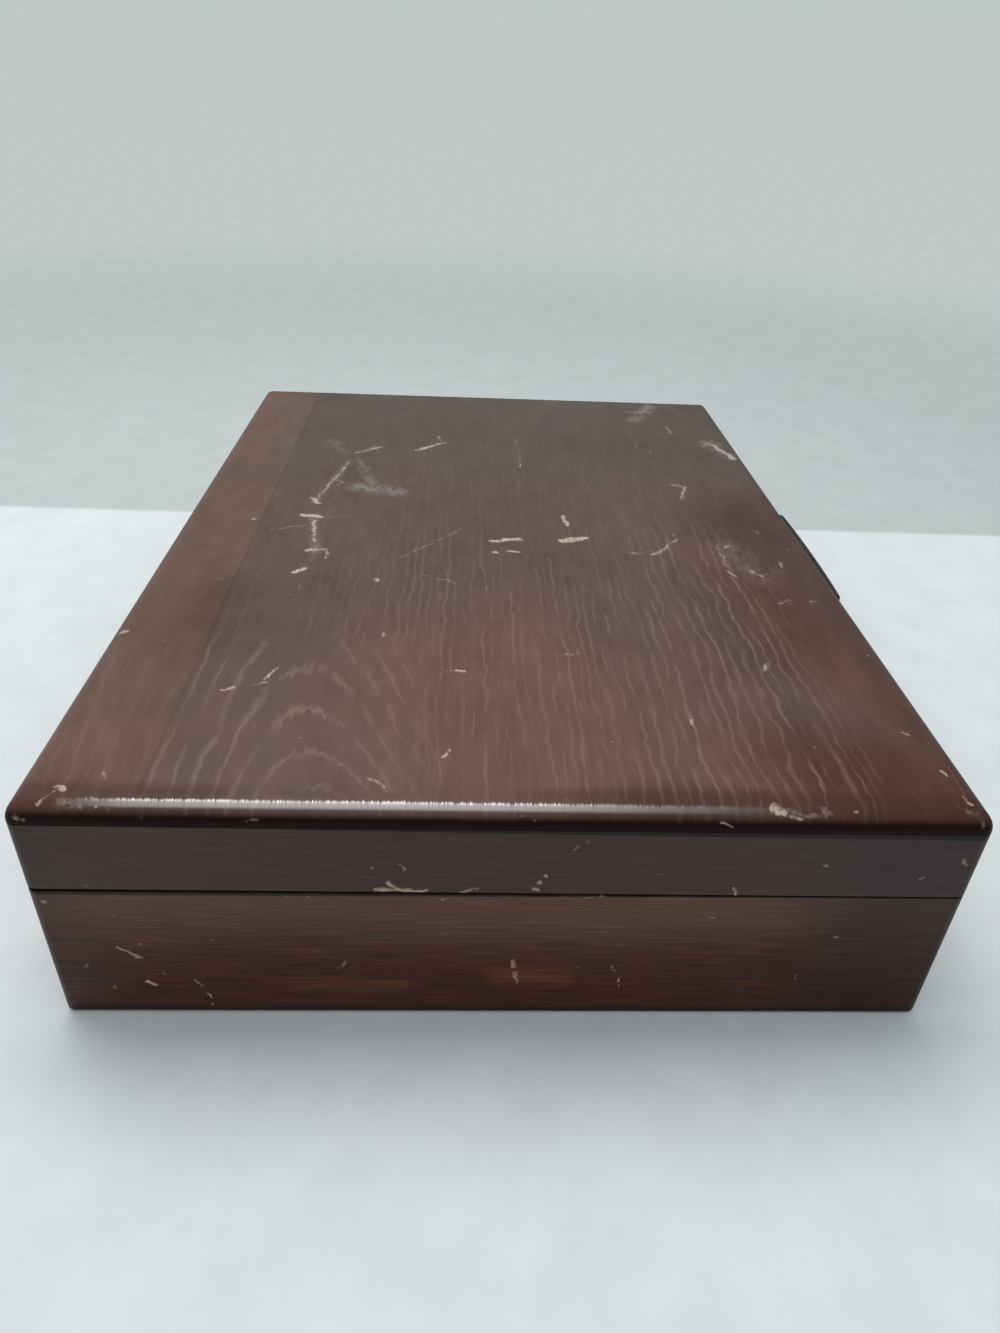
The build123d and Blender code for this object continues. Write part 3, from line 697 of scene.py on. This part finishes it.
def makeTopWood():
    look, fields, share = topLook, lineFields, topShares
    material, shader, point = newMaterial("stainedTopBoard", specularIorLevel=0.09, **polishCoat)
    x, y, z = split(point)
    tremble = centred(cloud(point, (45, 45, 45)), 1.6)
    pastBorder = minus(y, plus(fade(x, topLow.x, topHigh.x, *look["stripEdge"]), tremble))
    strip = fade(pastBorder, -0.5, 0.7)
    offStrip = fade(strip, 0.0, 1.0, 1.0, 0.3)
    seam = fade(calc("ABSOLUTE", pastBorder), 0.9, 0.1)
    rings, boldLines, fineLines = (
        use("growthRings", point, nearEnd=topLow.x, **{**straightLines, **kind})
        for kind in lineKinds.values()
    )
    streaks = use("grainStreaks", point, **look["grain"])
    handled = use("handling", point)
    edge = use("boxEdge", point, low=topLow, high=topHigh)["Distance"]
    wear = use("edgeWear", point, distance=edge, **look["wear"])

    arches = times(fade(y, *fields["archesAcross"]), fade(x, *fields["archesAlong"]))
    flared = minus(y, fade(x, *fields["flareAlong"]))
    bold = times(fade(flared, *fields["boldAcross"]), fade(y, *fields["boldEdge"]))
    bold = times(bold, fade(x, *fields["boldAlong"]))
    fine = times(
        minus(1.0, larger(arches, bold)), fade(y, *fields["fineHingeSide"]),
        fade(y, *fields["finePullSide"]), fade(x, *fields["fineFar"]), fade(x, *fields["fineFarEnd"]),
    )
    gritty = fade(cloud(point, (5, 1.2, 5)), 0.34, 0.6, 0.8, 1.3)
    lines = times(rings["Line"], times(arches, fade(y, *fields["archLegs"])), gritty)
    lines = larger(lines, times(boldLines["Line"], bold), times(fineLines["Line"], fine))
    lines = times(lines, offStrip)

    tone = fade(cloud(point, (95, 38, 60)), 0.34, 0.66)
    uneven = fade(cloud(point, (70, 34, 30)), 0.2, 0.65, 0.75, 1.0)
    colour = layered(
        blend(tone, look["deepBrown"], look["brown"]),
        (times(strip, share["strip"]), look["strip"]),
        (times(addMarks(point, palePlaces), share["pale"]), look["pale"]),
        (times(fade(x, *look["coolAlong"]), offStrip), look["cool"]),
        (times(addMarks(point, redPlaces), uneven), look["red"]),
        (times(addMarks(point, darkPlaces), uneven, share["dark"]), look["dark"]),
    )
    mottle = fade(cloud(point, (16, 7, 10), 4.0, 0.6), 0.3, 0.7, 0.91, 1.09)
    colour = shadeBy(colour, plus(fade(streaks["Streak"], 0.3, 0.7, -0.045, 0.045), mottle))
    rim = fade(x, *(topLow.x + inset for inset in look["rimInset"]))
    rim = times(rim, fade(away(y, look["rimLeastAt"]), *look["rimBeside"]), share["rim"])
    colour = layered(
        colour,
        (times(streaks["Pores"], share["pores"]), look["dark"]),
        (times(lines, share["line"]), look["line"]),
        (times(seam, share["seam"]), look["dark"]),
        (times(arches, fade(rings["Band"], 0.0, 1.0, *look["inArch"])), look["arch"]),
        (rim, look["dark"]),
        # painted shade on the lower half of the board's rounded edges
        (fade(z, *(topHigh.z - drop for drop in look["lowEdgeShadeDrop"])), look["lowEdgeShade"]),
    )

    broken = fade(cloud(point, (7, 5, 7), 5.0, 0.72), 0.36, 0.64)
    smears = times(addMarks(point, topSmears), broken, share["smear"])
    marks = tornMarks(point, topMarks)
    rubs = tornMarks(point, topRubs, grit=0.55, widen=1.3)
    bare = larger(marks, times(rubs, share["rubs"]), times(wear["Chipped"], share["chips"]))
    bare = larger(bare, times(handled["Specks"], share["specks"]))
    faint = larger(times(handled["Hairlines"], share["hairlines"]), smears)
    colour = blend(faint, colour, look["smear"])
    bareColour = shadeBy(look["bareWood"], fade(streaks["Streak"], 0.3, 0.7, 0.6, 1.1))
    colour = blend(times(bare, share["bare"]), colour, bareColour)

    rough = timesPlus(handled["Bloom"], 0.1, 0.38)
    rough = timesPlus(bare, 0.3, timesPlus(lines, 0.1, rough))
    height = timesPlus(streaks["Streak"], 0.2, lines)
    height = timesPlus(streaks["Pores"], -0.12, height)
    finishShader(shader, colour, rough, height, look["reliefDepth"])

    hatch = cloud(point, polish["hatchLumps"], 3.0, 0.7)
    below = plus(minus(topHigh.z, z), centred(hatch, polish["hatchDepth"]))
    rounded = times(fade(below, *polish["begins"]), fade(below, *polish["ends"]))
    fromEnd, toEnd = (topHigh.x - inset for inset in polish["fromEnd"])
    fromSide, toSide = (topHigh.y - inset for inset in polish["fromSide"])
    polished = times(
        fade(calc("ABSOLUTE", x), fromEnd, toEnd, 0.15, 1.0),
        fade(calc("ABSOLUTE", y), fromSide, toSide), fade(hatch, *polish["hatch"]),
        fade(y, *polish["pullSide"]),
    )
    coat = times(times(rounded, polished), minus(1.0, bare))
    feed(shader.inputs["Coat Weight"], fade(coat, 0.0, 1.0))
    return material


endMarks = {
    "scratchLong": (571, 852, 589, 841, 0.35, 0.45),
    "dotTop": (545, 876, 547, 876, 0.9, 0.9),
    "dotMiddle": (537, 882, 540, 883, 0.9, 0.8),
    "dotSeam": (533, 889, 537, 889, 1.0, 0.8),
    "tickPale": (655, 874, 671, 876, 0.4, 0.6),
    "tickRight": (822, 865, 833, 866, 0.45, 0.6),
    "seamNick": (733, 889, 735, 893, 0.9, 0.75),
    "farDot": (921, 878, 925, 878, 0.5, 0.45),
    "cornerNick": (964, 859, 966, 866, 0.8, 0.5),
    "leftTick": (366, 867, 376, 870, 0.5, 0.55),
    "leftTickRight": (400, 866, 403, 871, 0.5, 0.5),
    "seamChip": (373, 890, 424, 890, 0.9, 0.85),
    "seamChipPeak": (388, 883, 398, 889, 1.0, 0.9),
    "seamChipRight": (461, 892, 478, 889, 0.7, 0.8),
    "underSeamChip": (442, 900, 451, 896, 0.5, 0.6),
    "underSeamLine": (287, 896, 309, 896, 0.4, 0.5),
    "farUnderSeam": (563, 897, 606, 897, 0.35, 0.35),
    "cornerChip": (43, 901, 47, 903, 0.7, 0.6),
    "smallDot": (84, 885, 88, 885, 0.5, 0.5),
    "faintDash": (102, 925, 115, 926, 0.4, 0.35),
    "slantScratch": (116, 948, 142, 959, 0.6, 0.75),
    "slantDot": (139, 945, 142, 944, 0.6, 0.6),
    "lowFaint": (84, 966, 90, 963, 0.6, 0.4),
    "creamChip": (146, 982, 157, 985, 1.0, 0.95),
    "creamChipDot": (161, 972, 165, 974, 0.7, 0.7),
    "chipLeft": (116, 985, 120, 989, 0.8, 0.45),
    "hookStart": (195, 978, 205, 987, 0.45, 0.75),
    "hookEnd": (205, 987, 215, 1007, 0.5, 0.8),
    "middleTick": (333, 970, 344, 962, 0.4, 0.4),
    "dripTop": (513, 962, 514, 966, 0.8, 0.65),
    "dripLow": (515, 972, 516, 984, 0.6, 0.55),
    "dripRight": (574, 966, 577, 966, 0.6, 0.5),
    "thinLine": (617, 968, 621, 1003, 0.4, 0.8),
    "thinLineHead": (614, 967, 617, 970, 0.7, 0.6),
    "rightDot": (836, 936, 838, 937, 0.5, 0.6),
    "rightDotLow": (796, 975, 798, 978, 0.5, 0.5),
    "rightTick": (708, 917, 716, 918, 0.5, 0.4),
}

# redder places low on the end wall
endGlows = {
    "middle": (500, 975, 560, 978, 7.0, 0.7),
    "left": (300, 985, 400, 985, 6.0, 0.35),
}

wallLooks = {
    "lid": {
        "low": (0.056, 0.032, 0.024, 1),
        "high": (0.052, 0.034, 0.026, 1),
        "ends": (0.036, 0.025, 0.022, 1),
        "streak": 0.35,
        "shadowTop": railHigh.z,  # a painted shadow runs down from this height, this far in mm at the hinge side and at the pull's
        "shadowLine": (0.5, 2.2),  # this far in mm at the hinge side and at the pull's
        "box": (Vector((topLow.x, topLow.y, railLow.z)), topHigh),
    },
    "base": {
        "low": (0.052, 0.012, 0.005, 1),
        "high": (0.104, 0.050, 0.034, 1),
        "ends": (0.030, 0.017, 0.014, 1),
        "pullEnd": (0.025, 0.007, 0.004, 1),  # low on the wall, toward the pull
        "streak": 1.0,
        "shadowTop": baseTop,
        "shadowLine": (1.3, 0.2),
        "box": (Vector((topLow.x, topLow.y, 0)), Vector((topHigh.x, topHigh.y, baseTop))),
    },
    "pull": {
        "low": (0.026, 0.021, 0.018, 1),
        "high": (0.038, 0.030, 0.025, 1),
        "ends": (0.026, 0.021, 0.018, 1),
        "streak": 0.6,
        "shadowTop": pullHigh.z + 1,
        "shadowLine": (0.0, 0.0),
        "box": (pullLow, pullHigh),
    },
}
wallFinish = {
    "glow": (0.115, 0.034, 0.014, 1),
    "pores": (0.012, 0.006, 0.004, 1),
    # the colour of the painted shadows under the board's edge, in the seam and at the foot
    "paintedShadow": (0.007, 0.0035, 0.0025, 1),
    "rubbed": (0.20, 0.15, 0.12, 1),
    "bareWood": (0.48, 0.36, 0.25, 1),
    "grain": {"length": 24.0, "width": 0.42},
    "wear": {"width": 2.6, "amount": 0.24},
    "brightestAt": 20.0,  # mm from the middle, toward the hinges
    "endsFrom": (0.6, 0.98),  # of the way to the end
    "endShare": 0.85,
    "paleFrom": (22, -4),  # mm above the lower edge and the upper one
    "pullEndAlong": (0.0, -80.0),
    "foot": (5.4, 1.2, 0.0, 0.9),  # heights between which the painted contact shadow at the foot fades in
    "reliefDepth": 0.06,
}
wallShares = {"pores": 0.3, "chips": 0.5, "specks": 0.2, "hairlines": 0.1, "rubbed": 0.3, "bare": 0.8}


def makeWallWood(name, look, alongY, marks):
    finish, share = wallFinish, wallShares
    material, shader, point = newMaterial(name, specularIorLevel=0.2)
    x, y, z = split(point)
    grain = join(y, x, z) if alongY else point
    along, run = (y, topHigh.y) if alongY else (x, topHigh.x)
    low, high = look["box"]
    streaks = use("grainStreaks", grain, **finish["grain"])
    handled = use("handling", grain)
    edge = use("boxEdge", point, low=low, high=high)["Distance"]
    wear = use("edgeWear", point, distance=edge, **finish["wear"])

    sway = centred(cloud(grain, (90, 30, 30)), 22.0)
    aboveLow, aboveHigh = finish["paleFrom"]
    up = fade(plus(z, times(sway, 0.6)), low.z + aboveLow, high.z + aboveHigh)
    colour = blend(up, look["low"], look["high"])
    fromMiddle = plus(away(along, finish["brightestAt"]), sway)
    ends = fade(fromMiddle, *(run * part for part in finish["endsFrom"]), 0.0, finish["endShare"])
    endColour = look["ends"]
    if "pullEnd" in look:
        towardPull = times(fade(along, *finish["pullEndAlong"]), minus(1.0, up))
        endColour = blend(towardPull, endColour, look["pullEnd"])
    colour = blend(ends, colour, endColour)
    if marks:
        colour = blend(addMarks(point, endGlows), colour, finish["glow"])
    visible = times(fade(up, 1.0, 0.0, 0.45, 1.0), look["streak"])
    striped = shadeBy(colour, fade(streaks["Streak"], 0.32, 0.7, 0.5, 1.7))
    # painted shadow under the board's edge and in the seam gap
    hingeSide, pullSide = look["shadowLine"]
    deep = fade(y, topHigh.y, topLow.y, hingeSide, pullSide)
    drop = minus(look["shadowTop"], z)
    shadowed = fade(drop, plus(deep, 0.25), minus(deep, 0.25), 0.0, 0.9)
    # painted contact shadow along the foot of the walls
    shadowed = larger(fade(z, *finish["foot"]), shadowed)
    bare = times(wear["Chipped"], share["chips"])
    if marks:
        bare = larger(bare, tornMarks(point, marks, grit=0.45, widen=1.6))
    bare = larger(bare, times(handled["Specks"], share["specks"]))
    faint = times(handled["Hairlines"], share["hairlines"])
    faint = larger(faint, times(wear["Rubbed"], share["rubbed"]))
    colour = layered(
        colour, (visible, striped),
        (times(streaks["Pores"], share["pores"]), finish["pores"]),
        (shadowed, finish["paintedShadow"]),
        (faint, finish["rubbed"]),
        (times(bare, share["bare"]), finish["bareWood"]),
    )
    rough = timesPlus(bare, 0.3, timesPlus(handled["Bloom"], 0.12, 0.36))
    height = timesPlus(streaks["Pores"], -0.3, streaks["Streak"])
    finishShader(shader, colour, rough, height, finish["reliefDepth"])
    return material


panelLook = {
    "light": (0.20, 0.115, 0.066, 1),
    "dark": (0.115, 0.062, 0.036, 1),
    "worn": (0.30, 0.20, 0.13, 1),
    "grain": {"length": 110.0, "width": 2.2},
    "reliefDepth": 0.1,
}


def makePanelWood():
    look = panelLook
    material, shader, point = newMaterial("stainedBottomPanel", specularIorLevel=0.3)
    streaks = use("grainStreaks", point, **look["grain"])
    handled = use("handling", point, scale=0.7)
    low = Vector((topLow.x, topLow.y, 0))
    edge = use("boxEdge", point, low=low, high=topHigh)["Distance"]
    banded = fade(streaks["Streak"], 0.3, 0.7)
    colour = blend(banded, look["dark"], look["light"])
    colour = blend(times(streaks["Pores"], 0.4), colour, look["dark"])
    worn = times(handled["Bloom"], fade(edge, 40.0, 0.0, 0.1, 0.5))
    colour = blend(worn, colour, look["worn"])
    rough = fade(handled["Bloom"], 0.0, 1.0, 0.5, 0.68)
    finishShader(shader, colour, rough, streaks["Streak"], look["reliefDepth"])
    return material


flannelLook = {
    "light": (0.205, 0.130, 0.088, 1),
    "dark": (0.115, 0.070, 0.047, 1),
    "pressed": (0.82, 0.8, 0.78, 1),  # a tint over the two
    "lint": (0.45, 0.38, 0.32, 1),
    "reliefDepth": 0.35,
}


def makeFlannel():
    look = flannelLook
    material, shader, point = newMaterial(
        "brownFlannel", specularIorLevel=0.1,
        sheenWeight=0.35, sheenRoughness=0.5, sheenTint=(0.75, 0.6, 0.5, 1),
    )
    nap = use("flannelNap", point)
    handled = use("handling", point, scale=1.6)
    colour = blend(fade(nap["Shade"], 0.36, 0.64), look["dark"], look["light"])
    pressed = blend(1.0, colour, look["pressed"], "MULTIPLY")
    colour = blend(times(handled["Bloom"], 0.5), colour, pressed)
    colour = blend(times(handled["Specks"], 0.25), colour, look["lint"])
    rough = fade(nap["Shade"], 0.3, 0.7, 0.86, 1.0)
    finishShader(shader, colour, rough, nap["Height"], look["reliefDepth"])
    return material


brassLook = {
    "bright": (0.76, 0.56, 0.27, 1),
    "dull": (0.36, 0.24, 0.11, 1),
    "dark": (0.10, 0.065, 0.035, 1),
    "brushing": (9.0, 0.35, 0.35),
}
steelLook = {
    "bright": (0.56, 0.55, 0.53, 1),
    "dull": (0.30, 0.29, 0.28, 1),
    "dark": (0.10, 0.08, 0.07, 1),
    "brushing": (0.6, 0.6, 0.6),
}
metalRelief = 0.02  # mm


def makeMetal(name, look):
    material, shader, point = newMaterial(name)
    age = use("metalAge", point, brushing=look["brushing"])
    colour = blend(times(age["Tarnish"], 0.75), look["bright"], look["dull"])
    colour = blend(times(age["Pits"], 0.6), colour, look["dark"])
    feed(shader.inputs["Metallic"], fade(age["Pits"], 0.0, 1.0, 1.0, 0.7))
    rough = timesPlus(age["Brushed"], 0.1, fade(age["Tarnish"], 0.0, 1.0, 0.24, 0.46))
    height = minus(age["Brushed"], age["Pits"])
    finishShader(shader, colour, rough, height, metalRelief)
    return material


topWood = makeTopWood()
lidEndWood = makeWallWood("lidEndRailWood", wallLooks["lid"], True, endMarks)
lidLongWood = makeWallWood("lidLongRailWood", wallLooks["lid"], False, None)
baseEndWood = makeWallWood("baseEndWallWood", wallLooks["base"], True, endMarks)
baseLongWood = makeWallWood("baseLongWallWood", wallLooks["base"], False, None)
pullWood = makeWallWood("fingerPullWood", wallLooks["pull"], False, None)
panelWood = makePanelWood()
flannel = makeFlannel()
brass = makeMetal("agedBrass", brassLook)
steel = makeMetal("dullSteel", steelLook)
print("materials ready")


nodeFinishes = {
    "lid_top_board": topWood,
    "lid_left_rail": lidEndWood,
    "lid_right_rail": lidEndWood,
    "lid_front_rail": lidLongWood,
    "lid_back_rail": lidLongWood,
    "finger_pull": pullWood,
    "base_left_end": baseEndWood,
    "base_right_end": baseEndWood,
    "base_front_wall": baseLongWood,
    "base_back_wall": baseLongWood,
    "base_bottom_panel": panelWood,
    "bottom_panel_brads": steel,
    "finger_pull_screws": steel,
}


def paint(piece, material):
    piece.data.materials.clear()
    piece.data.materials.append(material)


for name, node in nodes.items():
    rest = brass if "hinge" in name or name.startswith("stay") else flannel
    paint(node, nodeFinishes.get(name, rest))


cloth = {
    "cell": 5.0,  # mm between the points of a pad's or lining's face
    "liningRoll": 1.1,  # mm over which a lining's wrapped edge turns
    "liningSway": 0.12,
    "padRoll": 2.4,
    "padCrown": 0.9,  # how far a pad swells between the bars that hold it down
    "padSoft": 17.0,  # mm from a bar to the top of the swell
    "padSway": 0.22,
    "rimShare": 0.25,  # how much of its thickness a panel keeps at its rim
    "liningWaves": (40, 22),  # mm
    "padWaves": (33, 27),
}


def stations(low, high, roll):
    # places along one side of a panel: close together where its edge turns, even between
    turns = [roll * share for share in (0.0, 0.12, 0.35, 0.65, 1.0)]
    count = max(2, round((high - low - 2 * roll) / cloth["cell"]))
    step = (high - low - 2 * roll) / count
    middle = [low + roll + step * place for place in range(1, count)]
    return [low + turn for turn in turns] + middle + [high - turn for turn in reversed(turns)]


def makeSoftPanel(node, thin, facing, roll, height):
    # a closed form, flat behind; its face turns over at the edges and is raised by height(u, v)
    low, high = boxInMm(node)
    wide, tall = [axis for axis in range(3) if axis != thin]
    across, upward = stations(low[wide], high[wide], roll), stations(low[tall], high[tall], roll)
    back, face = (low[thin], high[thin]) if facing > 0 else (high[thin], low[thin])
    thick, rim = abs(face - back), cloth["rimShare"]
    points = []
    for v in upward:
        for u in across:
            border = min(u - low[wide], high[wide] - u, v - low[tall], high[tall] - v)
            turned = math.sqrt(max(0.0, 1 - (1 - min(border / roll, 1.0)) ** 2))
            point = [0.0, 0.0, 0.0]
            point[wide], point[tall] = u, v
            point[thin] = back + facing * (thick * (rim + (1 - rim) * turned) + height(u, v))
            points.append(Vector(point) * mm)
    columns, rows = len(across), len(upward)
    faces = []
    for row in range(rows - 1):
        for column in range(columns - 1):
            first = row * columns + column
            faces.append((first, first + 1, first + columns + 1, first + columns))
    outline = list(range(columns)) + [row * columns + columns - 1 for row in range(1, rows)]
    outline += [(rows - 1) * columns + column for column in reversed(range(columns - 1))]
    outline += [row * columns for row in reversed(range(1, rows - 1))]
    first = len(points)
    for place in outline:
        point = points[place].copy()
        point[thin] = back * mm
        points.append(point)
    for place in range(len(outline)):
        after = (place + 1) % len(outline)
        faces.append((outline[after], outline[place], first + place, first + after))
    faces.append(tuple(first + place for place in reversed(range(len(outline)))))
    mesh = bpy.data.meshes.new(node + "_cloth")
    mesh.from_pydata(points, [], faces)
    mesh.validate()
    mesh.polygons.foreach_set("use_smooth", [True] * (len(mesh.polygons) - 1) + [False])
    panel = addObject(node + "_cloth", mesh)
    correct = bmesh.new()
    correct.from_mesh(mesh)
    bmesh.ops.recalc_face_normals(correct, faces=correct.faces)
    correct.to_mesh(mesh)
    correct.free()
    paint(panel, flannel)
    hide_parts(node)
    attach(panel, nodes[node]["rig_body"])
    return panel


def liningSway(u, v):
    long, short = cloth["liningWaves"]
    return -cloth["liningSway"] * (0.5 + 0.5 * noise.noise(Vector((u / long, v / short, 3.0))))


def padSwell(bars, low, high):
    # a pad swells in each field between the bars on it and dips beside the walls
    footprints = [boxInMm(bar) for bar in bars]
    long, short = cloth["padWaves"]

    def height(u, v):
        room = min(u - low.x, high.x - u, v - low.y, high.y - v)
        for barLow, barHigh in footprints:
            besideX = max(barLow.x - u, u - barHigh.x, 0.0)
            besideY = max(barLow.y - v, v - barHigh.y, 0.0)
            room = min(room, math.hypot(besideX, besideY))
        share = math.sin(min(room / cloth["padSoft"], 1.0) * math.pi / 2)
        sway = noise.noise(Vector((u / long, v / short, 8.0))) * cloth["padSway"]
        return share * (cloth["padCrown"] + sway)

    return height


linings = {
    "front": (1, 1, "wall"),  # the axis it is thin along, the way its face looks, the wall's last word
    "back": (1, -1, "wall"),
    "left": (0, 1, "end"),
    "right": (0, -1, "end"),
}
for part in ("base", "lid"):
    for side, (thin, facing, wallWord) in linings.items():
        node = f"{part}_{side}_lining"
        panel = makeSoftPanel(node, thin, facing, cloth["liningRoll"], liningSway)

baseBars = ["centre_partition", "serving_partition"]
baseBars += [f"{bay}_{side}_rack" for bay in ("left", "centre") for side in ("front", "back")]
lidBars = ["knife_handle_rack", "knife_blade_rack"]
for node, facing, bars in (("base_floor_pad", 1, baseBars), ("lid_pad", -1, lidBars)):
    pad = makeSoftPanel(node, 2, facing, cloth["padRoll"], padSwell(bars, padLow, padHigh))
print("linings and pads ready")


stageLook = {
    "table": (0.74, 0.78, 0.80, 1),
    "farther": (0.53, 0.575, 0.57, 1),
    "darkRoom": (0.05, 0.052, 0.052, 1),
    "lineAt": 0.199,  # metres along the chest, where the pale cloth ends in the photograph
    "lineSlant": -0.009,
    "lineHalf": 3.0,  # mm
    "tableFades": (900.0, 2600.0),  # mm from the chest
    "shadeFades": (380.0, 1500.0),
    "reach": 9.0,
    "floorDrop": 0.0002,
    "sky": (0.93, 0.98, 1.0, 1),
    "skyLight": 0.66,
    "lampPower": 7.2,
    "lampColour": (1.0, 0.98, 0.96),
    "lampSize": (0.62, 0.8),  # along the chest's long side, across it
    "lampPlace": (0.2, 0.2, 1.14),
    "lampTarget": (-0.12, 0.0, 0.09),
}

# what the chest mirrors, by direction: a lit side of the room, and a pale ceiling panel
roomLit = {"x": (-0.5, 0.1), "y": (-0.5, -0.15, 0.15, 1.0), "z": (0.9, 0.7, 0.2, 1.0)}
ceilingPanel = {
    "nearEnd": (-0.62, -0.42), "farEnd": (0.34, 0.16),
    "pullSide": (-0.24, -0.12), "hingeSide": (0.42, 0.3), "above": (0.6, 0.75),
}


def seenRays():
    rays = put("LightPath").outputs
    mirrored = larger(rays["Is Glossy Ray"], rays["Is Transmission Ray"])
    return rays["Is Camera Ray"], mirrored


def mixShaders(share, first, second):
    return put("MixShader", {0: share, 1: first, 2: second}).outputs[0]


def makeFloor():
    reach = stageLook["reach"]
    mesh = bpy.data.meshes.new("floor")
    corners = [(-reach, -reach, 0), (reach, -reach, 0), (reach, reach, 0), (-reach, reach, 0)]
    mesh.from_pydata(corners, [], [(0, 1, 2, 3)])
    floor = addObject("floor", mesh)
    floor.location.z = -stageLook["floorDrop"]
    material, shader, point = newMaterial("paleFloor", specularIorLevel=0.2)
    x, y, z = split(point)
    slanted = timesPlus(y, stageLook["lineSlant"], x)
    line = stageLook["lineAt"] / mm
    distance = calcVector("LENGTH", point)
    pastLine = fade(slanted, line - stageLook["lineHalf"], line + stageLook["lineHalf"])
    beyond = larger(pastLine, fade(distance, *stageLook["tableFades"]))
    mottle = fade(cloud(point, (28, 28, 28), 4.0, 0.6), 0.3, 0.7, 0.97, 1.03)
    colour = shadeBy(blend(beyond, stageLook["table"], stageLook["farther"]), mottle)
    feed(shader.inputs["Base Color"], colour)
    feed(shader.inputs["Roughness"], fade(mottle, 0.97, 1.03, 0.7, 0.8))
    camera, mirrored = seenRays()
    seen = larger(camera, mirrored)
    evened = times(seen, fade(distance, *stageLook["shadeFades"]))
    even = put("Emission", {"Color": colour, "Strength": 1.0}).outputs[0]
    surface = mixShaders(evened, shader.outputs[0], even)
    feed(material.node_tree.nodes["Material Output"].inputs["Surface"], surface)
    paint(floor, material)


def makeWorld():
    world = bpy.data.worlds.new("studio")
    world.use_nodes = True
    world.node_tree.nodes.clear()
    drawing["tree"] = world.node_tree
    camera, mirrored = seenRays()
    x, y, z = split(put("TexCoord").outputs["Generated"])
    lit = times(fade(x, *roomLit["x"]), fade(y, *roomLit["y"]), fade(z, *roomLit["z"]))
    room = blend(lit, stageLook["darkRoom"], stageLook["farther"])
    ways = (x, x, y, y, z)
    panel = times(*(fade(way, *bounds) for way, bounds in zip(ways, ceilingPanel.values())))
    room = blend(panel, room, (1, 1, 1, 1))
    lights = ((stageLook["sky"], stageLook["skyLight"]), (room, 1.0), (stageLook["farther"], 1.0))
    glow, reflected, backdrop = (
        put("Background", {"Color": colour, "Strength": strength}).outputs[0]
        for colour, strength in lights
    )
    surface = mixShaders(camera, mixShaders(mirrored, glow, reflected), backdrop)
    put("OutputWorld", {"Surface": surface})
    bpy.context.scene.world = world


def makeLamp():
    data = bpy.data.lights.new("softbox", "AREA")
    data.shape = "RECTANGLE"
    data.size, data.size_y = stageLook["lampSize"]
    data.energy = stageLook["lampPower"]
    data.color = stageLook["lampColour"]
    lamp = addObject("softbox", data)
    lamp.location = stageLook["lampPlace"]
    back = (Vector(stageLook["lampPlace"]) - Vector(stageLook["lampTarget"])).normalized()
    across = back.cross(Vector((1, 0, 0))).normalized()
    turn = Matrix((across.cross(back), across, back)).transposed()
    lamp.rotation_euler = turn.to_euler()


makeFloor()
makeWorld()
makeLamp()
bpy.context.scene.view_settings.view_transform = "Standard"
print("stage ready")
